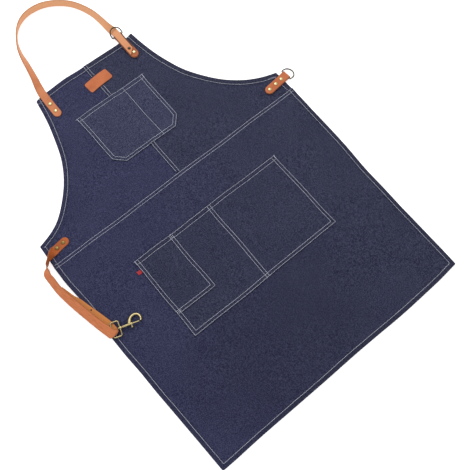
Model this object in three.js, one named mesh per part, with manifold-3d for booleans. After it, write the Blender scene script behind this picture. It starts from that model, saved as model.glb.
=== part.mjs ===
// A denim work apron lying face up on a flat floor. The bib is sewn from two halves and joined to the skirt by a
// lapped waist seam. Three patch pockets, a leather patch, leather straps and tabs, rivets, two D-rings and a
// swivel bolt snap are separate pieces.
// Millimetres, +Z up. +Y runs from the hem to the neck, +X is to the right when the front is looked at, the floor
// is Z = 0. The pieces are laid out from the middle of the waist seam, and the whole is then moved so that the
// origin lies below the middle of its box.
import * as THREE from "three";
import { mergeVertices } from "three/addons/utils/BufferGeometryUtils.js";
import Module from "manifold-3d";

const wasm = await Module();
wasm.setup();

const ORIGIN_X = 1.125;
const ORIGIN_Y = 10.94;

// cloth
const CLOTH = 1.2;
const HEM = 2.8;
const HEM_WIDTH = 11;
const HEM_SLOPE = 1.5;
const GAP = 0.3;
const LIFT = CLOTH + GAP;

// bib and skirt
const BIB_TOP = 350;
const WAIST_HALF = 329.2;
const HEM_HALF = 315;
const HEM_Y = -530.5;
const LAP_TOP = 3;
const LAP_BOTTOM = -10;
const CENTRE_LAP = [-4, 6];
const BIB_SIDE_IN = 327.6;
const BUTT = 4;
const ARMHOLE = [
  // half width, height above the waist seam
  [137, 350],
  [142, 310],
  [149.5, 270],
  [161, 230],
  [174, 195],
  [193, 160],
  [215, 130],
  [240, 105],
  [266, 85],
  [292, 70],
  [312, 61.5],
  [328, 56],
];

// pockets and patches
const CHEST = { x: -1.7, top: 250.3, bottom: 94.1, halfTop: 91.5, halfBottom: 90, corner: 24, cornerRun: 22 };
const LOWER = { left: -197, right: 186.7, top: -98.2, bottom: -301.8 };
const TOOL = { left: -196.5, right: -97.8, top: -98.7, bottom: -246.6 };
const POCKET_RIM = 2.0;
const POCKET_RIM_WIDTH = 10;
const TAB = { left: -206.9, right: -197.4, top: -120, bottom: -128.5, thick: 1.3 };
const PATCH = { x: 3, y: 299.5, width: 63, height: 29.5, radius: 4.5, turn: 4.5, z: 3, thick: 1.8 };

// leather
const STRAP_HALF = 9.5;
const NECK_STRAP_THICK = 2.5;
const WAIST_STRAP_THICK = 2.2;
const EDGE_BEVEL = 0.5;
const NECK_STRAP = [
  // x, y, z of the middle line, then bearing and rise of the direction to the outer edge, then half width
  [-117, 282, 2.8, 180, 0, STRAP_HALF],
  [-117, 301, 2.8, 180, 0, STRAP_HALF],
  [-116.5, 325, 2.85, 180, 0, STRAP_HALF],
  [-116, 337, 4.5, 180, 0, STRAP_HALF],
  [-115.5, 351, 4.8, 180, 1, STRAP_HALF],
  [-113.5, 364, 5.6, 180, 12, STRAP_HALF],
  [-110.5, 378, 7.2, 178, 30, STRAP_HALF],
  [-107, 392, 8.4, 176, 39, STRAP_HALF],
  [-102, 418, 9.1, 172, 48.5, STRAP_HALF],
  [-97.5, 446, 9.6, 168, 55, STRAP_HALF],
  [-92, 474, 10.1, 163, 74, STRAP_HALF],
  [-81.5, 500.7, 10.4, 152, 95, STRAP_HALF],
  [-66.2, 524.2, 10.4, 139, 100, STRAP_HALF],
  [-46.4, 540.8, 10.4, 120, 94, STRAP_HALF],
  [-20.2, 550, 10.4, 98, 88, STRAP_HALF],
  [14.5, 547.6, 10.4, 72, 84, STRAP_HALF],
  [45, 533.2, 10.4, 56, 83, STRAP_HALF],
  [72, 508.4, 10.4, 38, 79, STRAP_HALF],
  [87.2, 482.5, 10.4, 23, 74, STRAP_HALF],
  [97.5, 452.4, 10.4, 14, 68, STRAP_HALF],
  [100.8, 431, 10.4, 9, 62, STRAP_HALF],
  [102.2, 415, 10.2, 6, 57.5, STRAP_HALF],
  [102.9, 402, 9.8, 4, 51, STRAP_HALF],
  [104.3, 391, 9.4, 2, 36, STRAP_HALF],
  [106.4, 381, 9, 0, 14, 9.2],
  [107.2, 367, 10.7, 0, 2, 8.5],
  [107, 352, 9.1, 0, 0, 8],
  [106.8, 335, 8.95, 0, 0, 8],
  [106.6, 319, 8.95, 0, 0, 8],
  [106.5, 303.5, 8.95, 0, 0, 8],
];
const NECK_STRAP_CUT = { x: 101, y: 304, turn: 44 };
const WAIST_STRAP = [
  // columns as above, then how far the section is pushed to the other side; the strap turns over, folds round
  // the eye of the hook, where the wire squeezes it, and runs back beneath itself
  [-272, 32.5, 2.7, 278, 0, STRAP_HALF],
  [-288, 31, 2.7, 278, 0, STRAP_HALF],
  [-301, 29.3, 2.75, 278, 0, STRAP_HALF],
  [-307, 28.2, 3.6, 280, -5, STRAP_HALF],
  [-312.3, 25.5, 8.6, 285, -38, STRAP_HALF],
  [-317.6, 22.9, 11.1, 293, -60, STRAP_HALF],
  [-325, 18.8, 12.4, 302, -77, STRAP_HALF],
  [-333, 14.3, 12.2, 310, -92, STRAP_HALF],
  [-342.5, 5.4, 11, 141, -75, STRAP_HALF],
  [-347, -0.6, 9.8, 148, -47, STRAP_HALF],
  [-350.2, -6.4, 9, 158, -37, STRAP_HALF],
  [-351.2, -13.7, 9, 170, -42, STRAP_HALF],
  [-350.8, -24, 9.2, 178, -38, STRAP_HALF],
  [-350.88, -48, 9.6, 186, -38, STRAP_HALF],
  [-348, -71.2, 9.8, 191, -33, STRAP_HALF],
  [-342.9, -100.3, 10.3, 194, -28, STRAP_HALF],
  [-337, -130.3, 11.3, 196, -28, STRAP_HALF],
  [-330.4, -160.3, 12.3, 196, -23, STRAP_HALF],
  [-324.4, -183.4, 13, 196, -12, STRAP_HALF],
  [-321.4, -194, 13.2, 196, -10, STRAP_HALF],
  [-319.8, -197, 12.2, 196, -8, 8, 3.5],
  [-318.5, -197.9, 8.8, 196, -6, 5.2, 5.5],
  [-318.9, -196.7, 5.5, 196, -2, 6, 6],
  [-320.1, -192.6, 4.4, 196, 0, 8, 6],
  [-322, -170, 4.4, 196, 0, STRAP_HALF, 5],
  [-323.8, -142.8, 4.4, 196, 0, STRAP_HALF],
  [-330.5, -118.8, 4.3, 196, 0, STRAP_HALF],
  [-336.8, -94.8, 3.4, 195, -2, STRAP_HALF],
  [-343.2, -79, 2.6, 194, -2, 8.5, 1],
  [-347, -64, 2.2, 192, -2, 7.5, 2],
  [-351, -46, 2.2, 190, -2, 6.5, 2.5],
];
const STRAP_HOLE = { x: -325, y: -124, radius: 1.7 };
const TAB_HALF = 10.2;
const TAB_THICK = 2;
const TAB_Z = HEM + GAP;
const BAR_Z = TAB_Z + TAB_THICK + GAP / 2;
const NECK_TAB = { x: 108.5, y: 293, length: 73.5, turn: 0 };
const WAIST_TAB = { x: 275.5, y: 28.6, length: 64.5, turn: -84.3 };

// metal
const RING_WIRE = 1.4;
const RING = { half: 14, leg: 6.5, corner: 2.5 };
const NECK_RING = { x: 108, rise: 32 };
const WAIST_RING_RISE = -10.5;
const RIVET = { shank: 1.5, head: 4.3, dome: 2, back: 3.4, backThick: 0.5 };
const RIVET_CLEAR = 0.3;
const STUD = { shank: 1.5, head: 3.6, dome: 2.6 };
const HOOK = { x: -302.2, y: -191.4, z: 7.6, turn: -18.7, lie: -12 };
const EYE = { back: 16.5, half: 16, corner: 3.5, wire: 1.5, collar: 3.2, collarEnd: 4, bore: 1.6 };
const SHANK = { pin: 1.2, head: 2.4, barrel: 2.6, start: 4.4, end: 27, bore: 1.75, boreStart: 8.5 };
const SLOT = { start: 14.5, end: 25.5, half: 1.4 };
const BOLT = { radius: 1.4, start: 17, end: 41.2, stem: 1.1, stemAt: 24, stemTo: -6, knob: 2.3 };
const HOOK_LOOP = [
  // along the shank, across it, wire radius
  [19.5, 1, 3.6],
  [22.2, 7, 3.9],
  [25.2, 12.4, 3.1],
  [30, 16.2, 2.7],
  [36, 17.6, 2.5],
  [41.6, 15.2, 2.4],
  [44.9, 10, 2.3],
  [45.3, 4.6, 2.2],
  [43.7, 0, 2.1],
];

const DENIM_DARK = "#2d3150";
const DENIM_GREY = "#343850";
const LEATHER = "#c9713f";
const LEATHER_PALE = "#d98f5c";
const BRASS = "#cdb679";
const ANTIQUE = "#6d6653";
const RED = "#b3232f";

const turn = THREE.MathUtils.degToRad;
const rows = (from, to, step) => Array.from({ length: Math.round((to - from) / step) + 1 }, (_, i) => from + i * step);

// A closed geometry as a solid that can be joined and cut.
function solid(geometry) {
  const bare = geometry.clone();
  bare.deleteAttribute("normal");
  bare.deleteAttribute("uv");
  const merged = mergeVertices(bare, 1e-4);
  return new wasm.Manifold(
    new wasm.Mesh({
      numProp: 3,
      vertProperties: new Float32Array(merged.attributes.position.array),
      triVerts: new Uint32Array(merged.index.array),
    }),
  );
}

function geometryOf(body) {
  const mesh = body.getMesh();
  const geometry = new THREE.BufferGeometry();
  geometry.setAttribute("position", new THREE.BufferAttribute(new Float32Array(mesh.vertProperties), 3));
  geometry.setIndex(new THREE.BufferAttribute(new Uint32Array(mesh.triVerts), 1));
  geometry.computeVertexNormals();
  return geometry;
}

// A flat outline drawn up from one height to another.
function plate(points, low, high) {
  const shape = new THREE.Shape(points.map(([x, y]) => new THREE.Vector2(x, y)));
  const geometry = new THREE.ExtrudeGeometry(shape, { depth: high - low, bevelEnabled: false });
  return solid(geometry.translate(0, 0, low));
}

// A (y, z) outline drawn along x, and an (x, z) outline drawn along y.
function alongX(points, from, to) {
  const shape = new THREE.Shape(points.map(([y, z]) => new THREE.Vector2(y, z)));
  const geometry = new THREE.ExtrudeGeometry(shape, { depth: to - from, bevelEnabled: false });
  geometry.translate(0, 0, from);
  const basis = new THREE.Matrix4().makeBasis(
    new THREE.Vector3(0, 1, 0),
    new THREE.Vector3(0, 0, 1),
    new THREE.Vector3(1, 0, 0),
  );
  return solid(geometry.applyMatrix4(basis));
}

function alongY(points, from, to) {
  const shape = new THREE.Shape(points.map(([x, z]) => new THREE.Vector2(x, z)));
  const geometry = new THREE.ExtrudeGeometry(shape, { depth: to - from, bevelEnabled: false });
  return solid(geometry.rotateX(Math.PI / 2).translate(0, to, 0));
}

function cylinder(x, y, low, high, radius, sides = 12) {
  const geometry = new THREE.CylinderGeometry(radius, radius, high - low, sides);
  return solid(geometry.rotateX(Math.PI / 2).translate(x, y, (low + high) / 2));
}

// The outline moved inwards by a distance, corner by corner. Points run anticlockwise. Beside a sharp corner the
// moved points would fall too near the outline, and they are left out.
function inset(points, distance) {
  const corners = points.map(([x, y]) => new THREE.Vector2(x, y));
  const count = corners.length;
  const moved = corners.map((here, i) => {
    const before = here.clone().sub(corners[(i + count - 1) % count]).normalize();
    const after = corners[(i + 1) % count].clone().sub(here).normalize();
    const middle = new THREE.Vector2(-before.y - after.y, before.x + after.x).normalize();
    const share = Math.max(0.3, middle.x * -before.y + middle.y * before.x);
    return here.clone().addScaledVector(middle, distance / share);
  });
  const clear = moved.filter((p) =>
    corners.every((a, i) => {
      const edge = corners[(i + 1) % count].clone().sub(a);
      const share = THREE.MathUtils.clamp(p.clone().sub(a).dot(edge) / edge.lengthSq(), 0, 1);
      return p.distanceTo(a.clone().addScaledVector(edge, share)) > distance - 0.05;
    }),
  );
  return clear.map((p) => [p.x, p.y]);
}

// Rings of points joined into a skin, either round and back to the first ring or with a flat cap at each end.
function skin(rings, closed) {
  const sides = rings[0].length;
  const positions = rings.flat().flatMap((p) => [p.x, p.y, p.z]);
  const index = [];
  const last = closed ? rings.length : rings.length - 1;
  for (let i = 0; i < last; i += 1) {
    for (let j = 0; j < sides; j += 1) {
      const a = i * sides + j;
      const b = i * sides + ((j + 1) % sides);
      const c = ((i + 1) % rings.length) * sides + ((j + 1) % sides);
      const d = ((i + 1) % rings.length) * sides + j;
      index.push(a, b, c, a, c, d);
    }
  }
  if (!closed) {
    const end = (rings.length - 1) * sides;
    for (let j = 1; j < sides - 1; j += 1) {
      index.push(0, j + 1, j);
      index.push(end, end + j, end + j + 1);
    }
  }
  const geometry = new THREE.BufferGeometry();
  geometry.setAttribute("position", new THREE.Float32BufferAttribute(positions, 3));
  geometry.setIndex(index);
  return solid(geometry);
}

// A flat strap drawn along a table of rows, with a rounded tip where asked.
function ribbon(table, thick, roundStart, roundEnd, perRow = 4) {
  const line = new THREE.CatmullRomCurve3(table.map(([x, y, z]) => new THREE.Vector3(x, y, z)));
  const smooth = (points) => new THREE.CatmullRomCurve3(points, false, "catmullrom", 0.5);
  const lean = smooth(table.map((row) => new THREE.Vector3(row[3], row[4], 0)));
  const size = smooth(table.map((row) => new THREE.Vector3(row[5], row[6] ?? 0, 0)));
  line.arcLengthDivisions = 800;
  const length = line.getLength();
  const tips = rows(12, 88, 19).map((angle) => STRAP_HALF * (1 - Math.cos(turn(angle))));
  const first = roundStart ? tips.map((d) => line.getUtoTmapping(0, d)) : [0];
  const end = roundEnd ? tips.map((d) => line.getUtoTmapping(0, length - d)).reverse() : [1];
  const steps = (table.length - 1) * perRow;
  const inner = rows(0, steps, 1).map((i) => i / steps);
  const between = inner.filter((t) => t > first[first.length - 1] + 0.002 && t < end[0] - 0.002);
  const half = thick / 2;
  const rings = [...first, ...between, ...end].map((t) => {
    const point = line.getPoint(t);
    const along = line.getTangent(t);
    const look = lean.getPoint(t);
    const side = new THREE.Vector3(
      Math.cos(turn(look.y)) * Math.cos(turn(look.x)),
      Math.cos(turn(look.y)) * Math.sin(turn(look.x)),
      Math.sin(turn(look.y)),
    );
    side.addScaledVector(along, -side.dot(along)).normalize();
    const up = new THREE.Vector3().crossVectors(along, side);
    const placed = lengthTo(line, t);
    let { x: wide, y: pushed } = size.getPoint(t);
    if (roundStart && placed < STRAP_HALF) wide = Math.sqrt(STRAP_HALF ** 2 - (STRAP_HALF - placed) ** 2);
    const left = length - placed;
    if (roundEnd && left < STRAP_HALF) wide = Math.sqrt(STRAP_HALF ** 2 - (STRAP_HALF - left) ** 2);
    const section = [
      [wide, half - EDGE_BEVEL],
      [wide - EDGE_BEVEL, half],
      [EDGE_BEVEL - wide, half],
      [-wide, half - EDGE_BEVEL],
      [-wide, EDGE_BEVEL - half],
      [EDGE_BEVEL - wide, -half],
      [wide - EDGE_BEVEL, -half],
      [wide, EDGE_BEVEL - half],
    ];
    return section.map(([a, b]) => point.clone().addScaledVector(side, a - pushed).addScaledVector(up, b));
  });
  return skin(rings, false);
}

// The length of a curve from its start to the parameter t.
function lengthTo(line, t) {
  const lengths = line.getLengths();
  const place = t * (lengths.length - 1);
  const low = Math.min(Math.floor(place), lengths.length - 2);
  return lengths[low] + (lengths[low + 1] - lengths[low]) * (place - low);
}

// A round wire along a closed flat path in x and y.
function wireRing(points, radius, sides = 8) {
  const count = points.length;
  const rings = points.map((p, i) => {
    const along = points[(i + 1) % count].clone().sub(points[(i + count - 1) % count]).normalize();
    return rows(0, sides - 1, 1).map((k) => {
      const angle = ((k + 0.5) / sides) * 2 * Math.PI;
      const across = radius * Math.cos(angle);
      return new THREE.Vector3(p.x + along.y * across, p.y - along.x * across, -radius * Math.sin(angle));
    });
  });
  return skin(rings, true);
}

// A closed path of straight lines with rounded corners.
function roundedPath(corners, arcSteps) {
  const count = corners.length;
  return corners.flatMap(([x, y, radius], i) => {
    const here = new THREE.Vector2(x, y);
    const before = new THREE.Vector2(corners[(i + count - 1) % count][0], corners[(i + count - 1) % count][1]);
    const after = new THREE.Vector2(corners[(i + 1) % count][0], corners[(i + 1) % count][1]);
    const into = before.sub(here).normalize();
    const out = after.sub(here).normalize();
    const half = Math.acos(into.dot(out)) / 2;
    const reach = radius / Math.tan(half);
    const start = here.clone().addScaledVector(into, reach);
    const stop = here.clone().addScaledVector(out, reach);
    const centre = here.clone().addScaledVector(into.clone().add(out).normalize(), radius / Math.sin(half));
    const from = start.clone().sub(centre);
    const sweep = Math.PI - 2 * half;
    const sign = Math.sign(from.cross(stop.clone().sub(centre)));
    return rows(0, arcSteps, 1).map((k) =>
      from.clone().rotateAround(new THREE.Vector2(), (sign * sweep * k) / arcSteps).add(centre),
    );
  });
}

// A solid turned from a profile of radius and height, with its axis along +Z.
function lathe(profile, sides = 12) {
  const points = profile.map(([r, z]) => new THREE.Vector2(r, z));
  return solid(new THREE.LatheGeometry(points, sides).rotateX(Math.PI / 2));
}

const part = new THREE.Group();
const apron = new THREE.Group();
apron.position.set(-ORIGIN_X, -ORIGIN_Y, 0);
part.add(apron);

function add(name, body, colour, roughness, metalness, parent = apron) {
  const material = new THREE.MeshStandardMaterial({ color: colour, roughness, metalness });
  const mesh = new THREE.Mesh(geometryOf(body), material);
  mesh.name = name;
  parent.add(mesh);
  return mesh;
}

// Rivets: name, place, height of the underside of the head.
const RIVETS = [
  ["neck_strap_rivet_upper", -116.5, 320, 4.4],
  ["neck_strap_rivet_lower", -117, 298, 4.1],
  ["neck_tab_rivet", 110, 306, 7.5],
  ["waist_tab_rivet_inner", 286, 29.6, 7.5],
  ["waist_tab_rivet_middle", 305.8, 31.6, 7.5],
  ["waist_tab_rivet_outer", 323.5, 33.4, 7.5],
  ["waist_strap_rivet_inner", -285, 31.3, 3.9],
  ["waist_strap_rivet_outer", -302, 29.2, 4.8],
];
const STUD_AT = [106.5, 319, 10.3];

function drilled(body) {
  return [...RIVETS, ["", ...STUD_AT]].reduce(
    (left, [, x, y]) =>
      left
        .subtract(cylinder(x, y, -5, 15, RIVET.shank + RIVET_CLEAR))
        .subtract(cylinder(x, y, -1, RIVET.backThick + RIVET_CLEAR, RIVET.back + RIVET_CLEAR)),
    body,
  );
}

function bored(body) {
  return [...RIVETS, ["", ...STUD_AT]].reduce(
    (left, [, x, y]) => left.subtract(cylinder(x, y, -5, 15, RIVET.shank + RIVET_CLEAR)),
    body,
  );
}

// bib: half outlines, hem bands and the lapped centre seam
const armhole = new THREE.SplineCurve(ARMHOLE.map(([x, y]) => new THREE.Vector2(x, y)));
const armPoints = armhole.getPoints(44).map((p) => [p.x, p.y]);
const waistHalfAt = (y) => WAIST_HALF + ((WAIST_HALF - HEM_HALF) / -HEM_Y) * y;
const rightOutline = [
  [CENTRE_LAP[0], BUTT],
  [328.9, BUTT],
  ...armPoints.slice().reverse(),
  [CENTRE_LAP[0], BIB_TOP],
];
const wholeBib = [
  [-WAIST_HALF, -60],
  [WAIST_HALF, -60],
  ...armPoints.slice().reverse(),
  ...armPoints.map(([x, y]) => [-x, y]),
];
const bibInside = plate(inset(wholeBib, HEM_WIDTH), -1, 12);
const bibBand = (from, to, top) => plate(
  [
    [from, LAP_BOTTOM],
    [to, LAP_BOTTOM],
    [to, top],
    [from, top],
  ],
  0,
  CLOTH,
);
const lapProfile = (thick) => [
  [-20, LIFT],
  [9, LIFT],
  [12.5, 0],
  [400, 0],
  [400, thick],
  [12.5 + HEM_SLOPE / 2, thick],
  [9.5, LIFT + thick],
  [-20, LIFT + thick],
];
const hemStart = plate(
  [
    [-400, 6],
    [400, 6],
    [400, 400],
    [-400, 400],
  ],
  -1,
  12,
);
const rightPlan = plate(rightOutline, -1, 12);
const rightFlat = alongY(lapProfile(CLOTH), -60, 400).intersect(rightPlan);
const rightHem = alongY(lapProfile(HEM), -60, 400).intersect(rightPlan).subtract(bibInside).intersect(hemStart);
const bibRight = rightFlat.add(rightHem).add(bibBand(1.15, BIB_SIDE_IN, BUTT + 0.5));
add("bib_right", drilled(bibRight), DENIM_GREY, 0.92, 0);

const leftOutline = [
  [CENTRE_LAP[1], BIB_TOP],
  ...armPoints.map(([x, y]) => [-x, y]),
  [-328.9, BUTT + 0.8],
  [CENTRE_LAP[1], BUTT + 0.8],
];
const leftHemPlan = plate(
  [
    [-400, 6],
    [CENTRE_LAP[0] - 0.6, 6],
    [CENTRE_LAP[0] - 0.6, 400],
    [-400, 400],
  ],
  -1,
  12,
);
const leftHem = plate(leftOutline, 0, HEM).subtract(bibInside).intersect(leftHemPlan);
const bibLeft = plate(leftOutline, 0, CLOTH).add(leftHem).add(bibBand(-BIB_SIDE_IN, 0.85, BUTT + 1.3));
add("bib_left", drilled(bibLeft), DENIM_DARK, 0.92, 0);

// skirt: its folded top edge laps over the lower edge of the bib
const skirtOutline = [
  [-HEM_HALF, HEM_Y],
  [HEM_HALF, HEM_Y],
  [waistHalfAt(LAP_TOP), LAP_TOP],
  [-waistHalfAt(LAP_TOP), LAP_TOP],
];
const skirtInside = plate(
  inset(
    [
      [-HEM_HALF, HEM_Y],
      [HEM_HALF, HEM_Y],
      [waistHalfAt(60), 60],
      [-waistHalfAt(60), 60],
    ],
    HEM_WIDTH,
  ),
  -1,
  12,
);
const skirtProfile = (thick) => [
  [-600, 0],
  [-14, 0],
  [-10.4, LIFT],
  [20, LIFT],
  [20, LIFT + thick],
  [-10.6, LIFT + thick],
  [-14.4, thick],
  [-600, thick],
];
const skirtPlan = plate(skirtOutline, -1, 12);
const skirtFlat = alongX(skirtProfile(CLOTH), -400, 400).intersect(skirtPlan);
const skirtHem = alongX(skirtProfile(HEM), -400, 400).intersect(skirtPlan).subtract(skirtInside);
add("skirt_panel", skirtFlat.add(skirtHem), DENIM_DARK, 0.92, 0);

// pockets: a flat field with a turned-under rim
function pocket(outline, low, keepFlat) {
  const field = plate(outline, low, low + CLOTH);
  const rim = plate(outline, low, low + POCKET_RIM).subtract(plate(inset(outline, POCKET_RIM_WIDTH), -1, 20));
  return field.add(keepFlat ? rim.subtract(keepFlat) : rim);
}

const chestOutline = [
  [CHEST.x - CHEST.halfBottom + CHEST.cornerRun, CHEST.bottom],
  [CHEST.x + CHEST.halfBottom - CHEST.cornerRun, CHEST.bottom],
  [CHEST.x + CHEST.halfBottom, CHEST.bottom + CHEST.corner],
  [CHEST.x + CHEST.halfTop, CHEST.top],
  [CHEST.x - CHEST.halfTop, CHEST.top],
  [CHEST.x - CHEST.halfBottom, CHEST.bottom + CHEST.corner],
];
const chestProfile = (thick) => [
  [-200, LIFT],
  [-8, LIFT],
  [-5.2, LIFT + CLOTH + GAP],
  [10.4, LIFT + CLOTH + GAP],
  [14.4, LIFT],
  [200, LIFT],
  [200, LIFT + thick],
  [14.6, LIFT + thick],
  [10.6, LIFT + CLOTH + GAP + thick],
  [-5.4, LIFT + CLOTH + GAP + thick],
  [-8.2, LIFT + thick],
  [-200, LIFT + thick],
];
const chestPlan = plate(chestOutline, -1, 12);
const chestRim = alongY(chestProfile(POCKET_RIM), 0, 300)
  .intersect(chestPlan)
  .subtract(plate(inset(chestOutline, POCKET_RIM_WIDTH), -1, 12));
add("chest_pocket", alongY(chestProfile(CLOTH), 0, 300).intersect(chestPlan).add(chestRim), DENIM_GREY, 0.92, 0);

const box = ({ left, right, top, bottom }, grow = 0) => [
  [left - grow, bottom - grow],
  [right + grow, bottom - grow],
  [right + grow, top + grow],
  [left - grow, top + grow],
];
add("lower_pocket", pocket(box(LOWER), LIFT, plate(box(TOOL, 1), -1, 20)), DENIM_GREY, 0.92, 0);
add("tool_pocket", pocket(box(TOOL), 2 * LIFT), DENIM_GREY, 0.92, 0);
add("pocket_tab", plate(box(TAB), LIFT, LIFT + TAB.thick), RED, 0.85, 0);

// leather patch on the bib
const patchShape = roundedPath(
  [
    [-PATCH.width / 2, -PATCH.height / 2, PATCH.radius],
    [PATCH.width / 2, -PATCH.height / 2, PATCH.radius],
    [PATCH.width / 2, PATCH.height / 2, PATCH.radius],
    [-PATCH.width / 2, PATCH.height / 2, PATCH.radius],
  ],
  4,
).map((p) => [p.x, p.y]);
const patch = add("leather_patch", plate(patchShape, 0, PATCH.thick), LEATHER, 0.6, 0);
patch.position.set(PATCH.x, PATCH.y, PATCH.z);
patch.rotation.z = turn(PATCH.turn);

// straps
const cutAngle = turn(NECK_STRAP_CUT.turn);
const cutCorners = [
  [-40, 0],
  [60, 0],
  [60, -40],
  [-40, -40],
].map(([a, b]) => [
  NECK_STRAP_CUT.x + a * Math.cos(cutAngle) - b * Math.sin(cutAngle),
  NECK_STRAP_CUT.y + a * Math.sin(cutAngle) + b * Math.cos(cutAngle),
]);
const neckStrap = ribbon(NECK_STRAP, NECK_STRAP_THICK, true, false).subtract(plate(cutCorners, 7.6, 12));
add("neck_strap", bored(neckStrap), LEATHER_PALE, 0.6, 0);
const strapHole = cylinder(STRAP_HOLE.x, STRAP_HOLE.y, 0, 6.5, STRAP_HOLE.radius);
add("waist_strap", bored(ribbon(WAIST_STRAP, WAIST_STRAP_THICK, true, true).subtract(strapHole)), LEATHER, 0.6, 0);

// tabs: a strip folded round the bar of a ring, both layers on the front of the cloth
function foldedTab(length) {
  const inner = RING_WIRE + 0.35;
  const outer = inner + TAB_THICK;
  const top = TAB_Z + 2 * TAB_THICK + GAP;
  const arc = (radius, from, to) => rows(0, 8, 1).map((i) => {
    const angle = turn(from + ((to - from) * i) / 8);
    return [length + radius * Math.cos(angle), BAR_Z + radius * Math.sin(angle)];
  });
  const profile = [
    [0, TAB_Z],
    [length - 12, TAB_Z],
    ...arc(outer, -90, 90),
    [length - 10, top],
    [0, top],
    [0, top - TAB_THICK],
    [length - 9, top - TAB_THICK],
    ...arc(inner, 90, -90),
    [length - 9, TAB_Z + TAB_THICK],
    [0, TAB_Z + TAB_THICK],
  ];
  const plan = roundedPath(
    [
      [-TAB_HALF, 0, TAB_HALF - 0.5],
      [TAB_HALF, 0, TAB_HALF - 0.5],
      [TAB_HALF, length + 20, 1],
      [-TAB_HALF, length + 20, 1],
    ],
    6,
  ).map((p) => [p.x, p.y]);
  return alongX(profile, -20, 20).intersect(plate(plan, -1, 20));
}

// The tab is drilled where it lies, so its solid is turned into place first.
function placed(body, { x, y, turn: angle }) {
  return solid(geometryOf(body).rotateZ(turn(angle)).translate(x, y, 0));
}
add("neck_tab", bored(placed(foldedTab(NECK_TAB.length), NECK_TAB)), LEATHER, 0.6, 0);
add("waist_tab", bored(placed(foldedTab(WAIST_TAB.length), WAIST_TAB)), LEATHER, 0.6, 0);

// rings: bar along x, bow towards +y
const bow = rows(0, 16, 1).map((i) => {
  const angle = (Math.PI * i) / 16;
  return new THREE.Vector2(RING.half * Math.cos(angle), RING.leg + RING.half * Math.sin(angle));
});
const barEnds = roundedPath(
  [
    [-RING.half, 0, RING.corner],
    [RING.half, 0, RING.corner],
    [RING.half, RING.leg, 0.01],
    [-RING.half, RING.leg, 0.01],
  ],
  4,
).slice(0, 10);
const ringWire = wireRing([...barEnds, ...bow], RING_WIRE);
const neckRing = add("neck_ring", ringWire, ANTIQUE, 0.35, 1);
neckRing.position.set(NECK_RING.x, NECK_TAB.y + NECK_TAB.length, BAR_Z);
neckRing.rotation.x = turn(NECK_RING.rise);
const waistRing = add("waist_ring", ringWire, ANTIQUE, 0.35, 1);
const tabWay = turn(WAIST_TAB.turn + 90);
waistRing.position.set(
  WAIST_TAB.x + WAIST_TAB.length * Math.cos(tabWay),
  WAIST_TAB.y + WAIST_TAB.length * Math.sin(tabWay),
  BAR_Z,
);
waistRing.rotation.set(turn(WAIST_RING_RISE), 0, turn(WAIST_TAB.turn), "ZYX");

// rivets and the stud
const rivetBody = (height, { shank, head, dome }) =>
  lathe([
    [0, 0],
    [RIVET.back, 0],
    [RIVET.back, RIVET.backThick],
    [shank, RIVET.backThick],
    [shank, height],
    [head, height],
    [head, height + dome * 0.25],
    [head * 0.84, height + dome * 0.62],
    [head * 0.5, height + dome * 0.92],
    [0, height + dome],
  ]);
for (const [name, x, y, height] of RIVETS) {
  add(name, rivetBody(height, RIVET), BRASS, 0.25, 1).position.set(x, y, 0);
}
add("neck_strap_stud", rivetBody(STUD_AT[2], STUD), ANTIQUE, 0.35, 1).position.set(STUD_AT[0], STUD_AT[1], 0);

// snap hook: eye held in the strap's fold, hook turning on a pin, spring bolt in the barrel
const hook = new THREE.Group();
hook.position.set(HOOK.x, HOOK.y, HOOK.z);
hook.rotation.z = turn(HOOK.turn);
apron.add(hook);
const axial = (profile) => solid(geometryOf(lathe(profile)).rotateY(Math.PI / 2));
const eyeFrame = wireRing(
  roundedPath(
    [
      [-EYE.back, -EYE.half, EYE.corner],
      [0, -EYE.half, EYE.corner],
      [0, EYE.half, EYE.corner],
      [-EYE.back, EYE.half, EYE.corner],
    ],
    4,
  ),
  EYE.wire,
);
const collar = axial([
  [0, -1.7],
  [EYE.collar - 0.6, -1.7],
  [EYE.collar, -0.9],
  [EYE.collar, 2.6],
  [EYE.collar - 0.8, EYE.collarEnd],
  [0, EYE.collarEnd],
]);
const eyeBore = axial([
  [0, -8],
  [EYE.bore, -8],
  [EYE.bore, 8],
  [0, 8],
]);
add("hook_eye", eyeFrame.add(collar).subtract(eyeBore), BRASS, 0.25, 1, hook);

const swivel = new THREE.Group();
swivel.rotation.x = turn(HOOK.lie);
hook.add(swivel);
const shank = axial([
  [0, -3.6],
  [SHANK.head, -3.6],
  [SHANK.head, -2],
  [SHANK.pin, -2],
  [SHANK.pin, SHANK.start],
  [SHANK.barrel - 0.4, SHANK.start],
  [SHANK.barrel, SHANK.start + 1],
  [SHANK.barrel, SHANK.end],
  [0, SHANK.end],
]);
const loopLine = new THREE.CatmullRomCurve3(HOOK_LOOP.map(([u, v, r]) => new THREE.Vector3(u, v, r)));
const loopRings = rows(0, 24, 1).map((i) => {
  const point = loopLine.getPoint(i / 24);
  const along = loopLine.getTangent(i / 24).setZ(0).normalize();
  return rows(0, 9, 1).map((k) => {
    const angle = (k / 10) * 2 * Math.PI;
    const across = point.z * Math.cos(angle);
    return new THREE.Vector3(point.x - along.y * across, point.y + along.x * across, point.z * Math.sin(angle));
  });
});
const bolt = axial([
  [0, BOLT.start],
  [BOLT.radius, BOLT.start],
  [BOLT.radius, BOLT.end - 0.4],
  [BOLT.radius - 0.4, BOLT.end],
  [0, BOLT.end],
]);
const bore = axial([
  [0, SHANK.boreStart],
  [SHANK.bore, SHANK.boreStart],
  [SHANK.bore, SHANK.end + 5],
  [0, SHANK.end + 5],
]);
const slot = plate(
  [
    [SLOT.start, -9],
    [SLOT.end, -9],
    [SLOT.end, 0],
    [SLOT.start, 0],
  ],
  -SLOT.half,
  SLOT.half,
);
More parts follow.
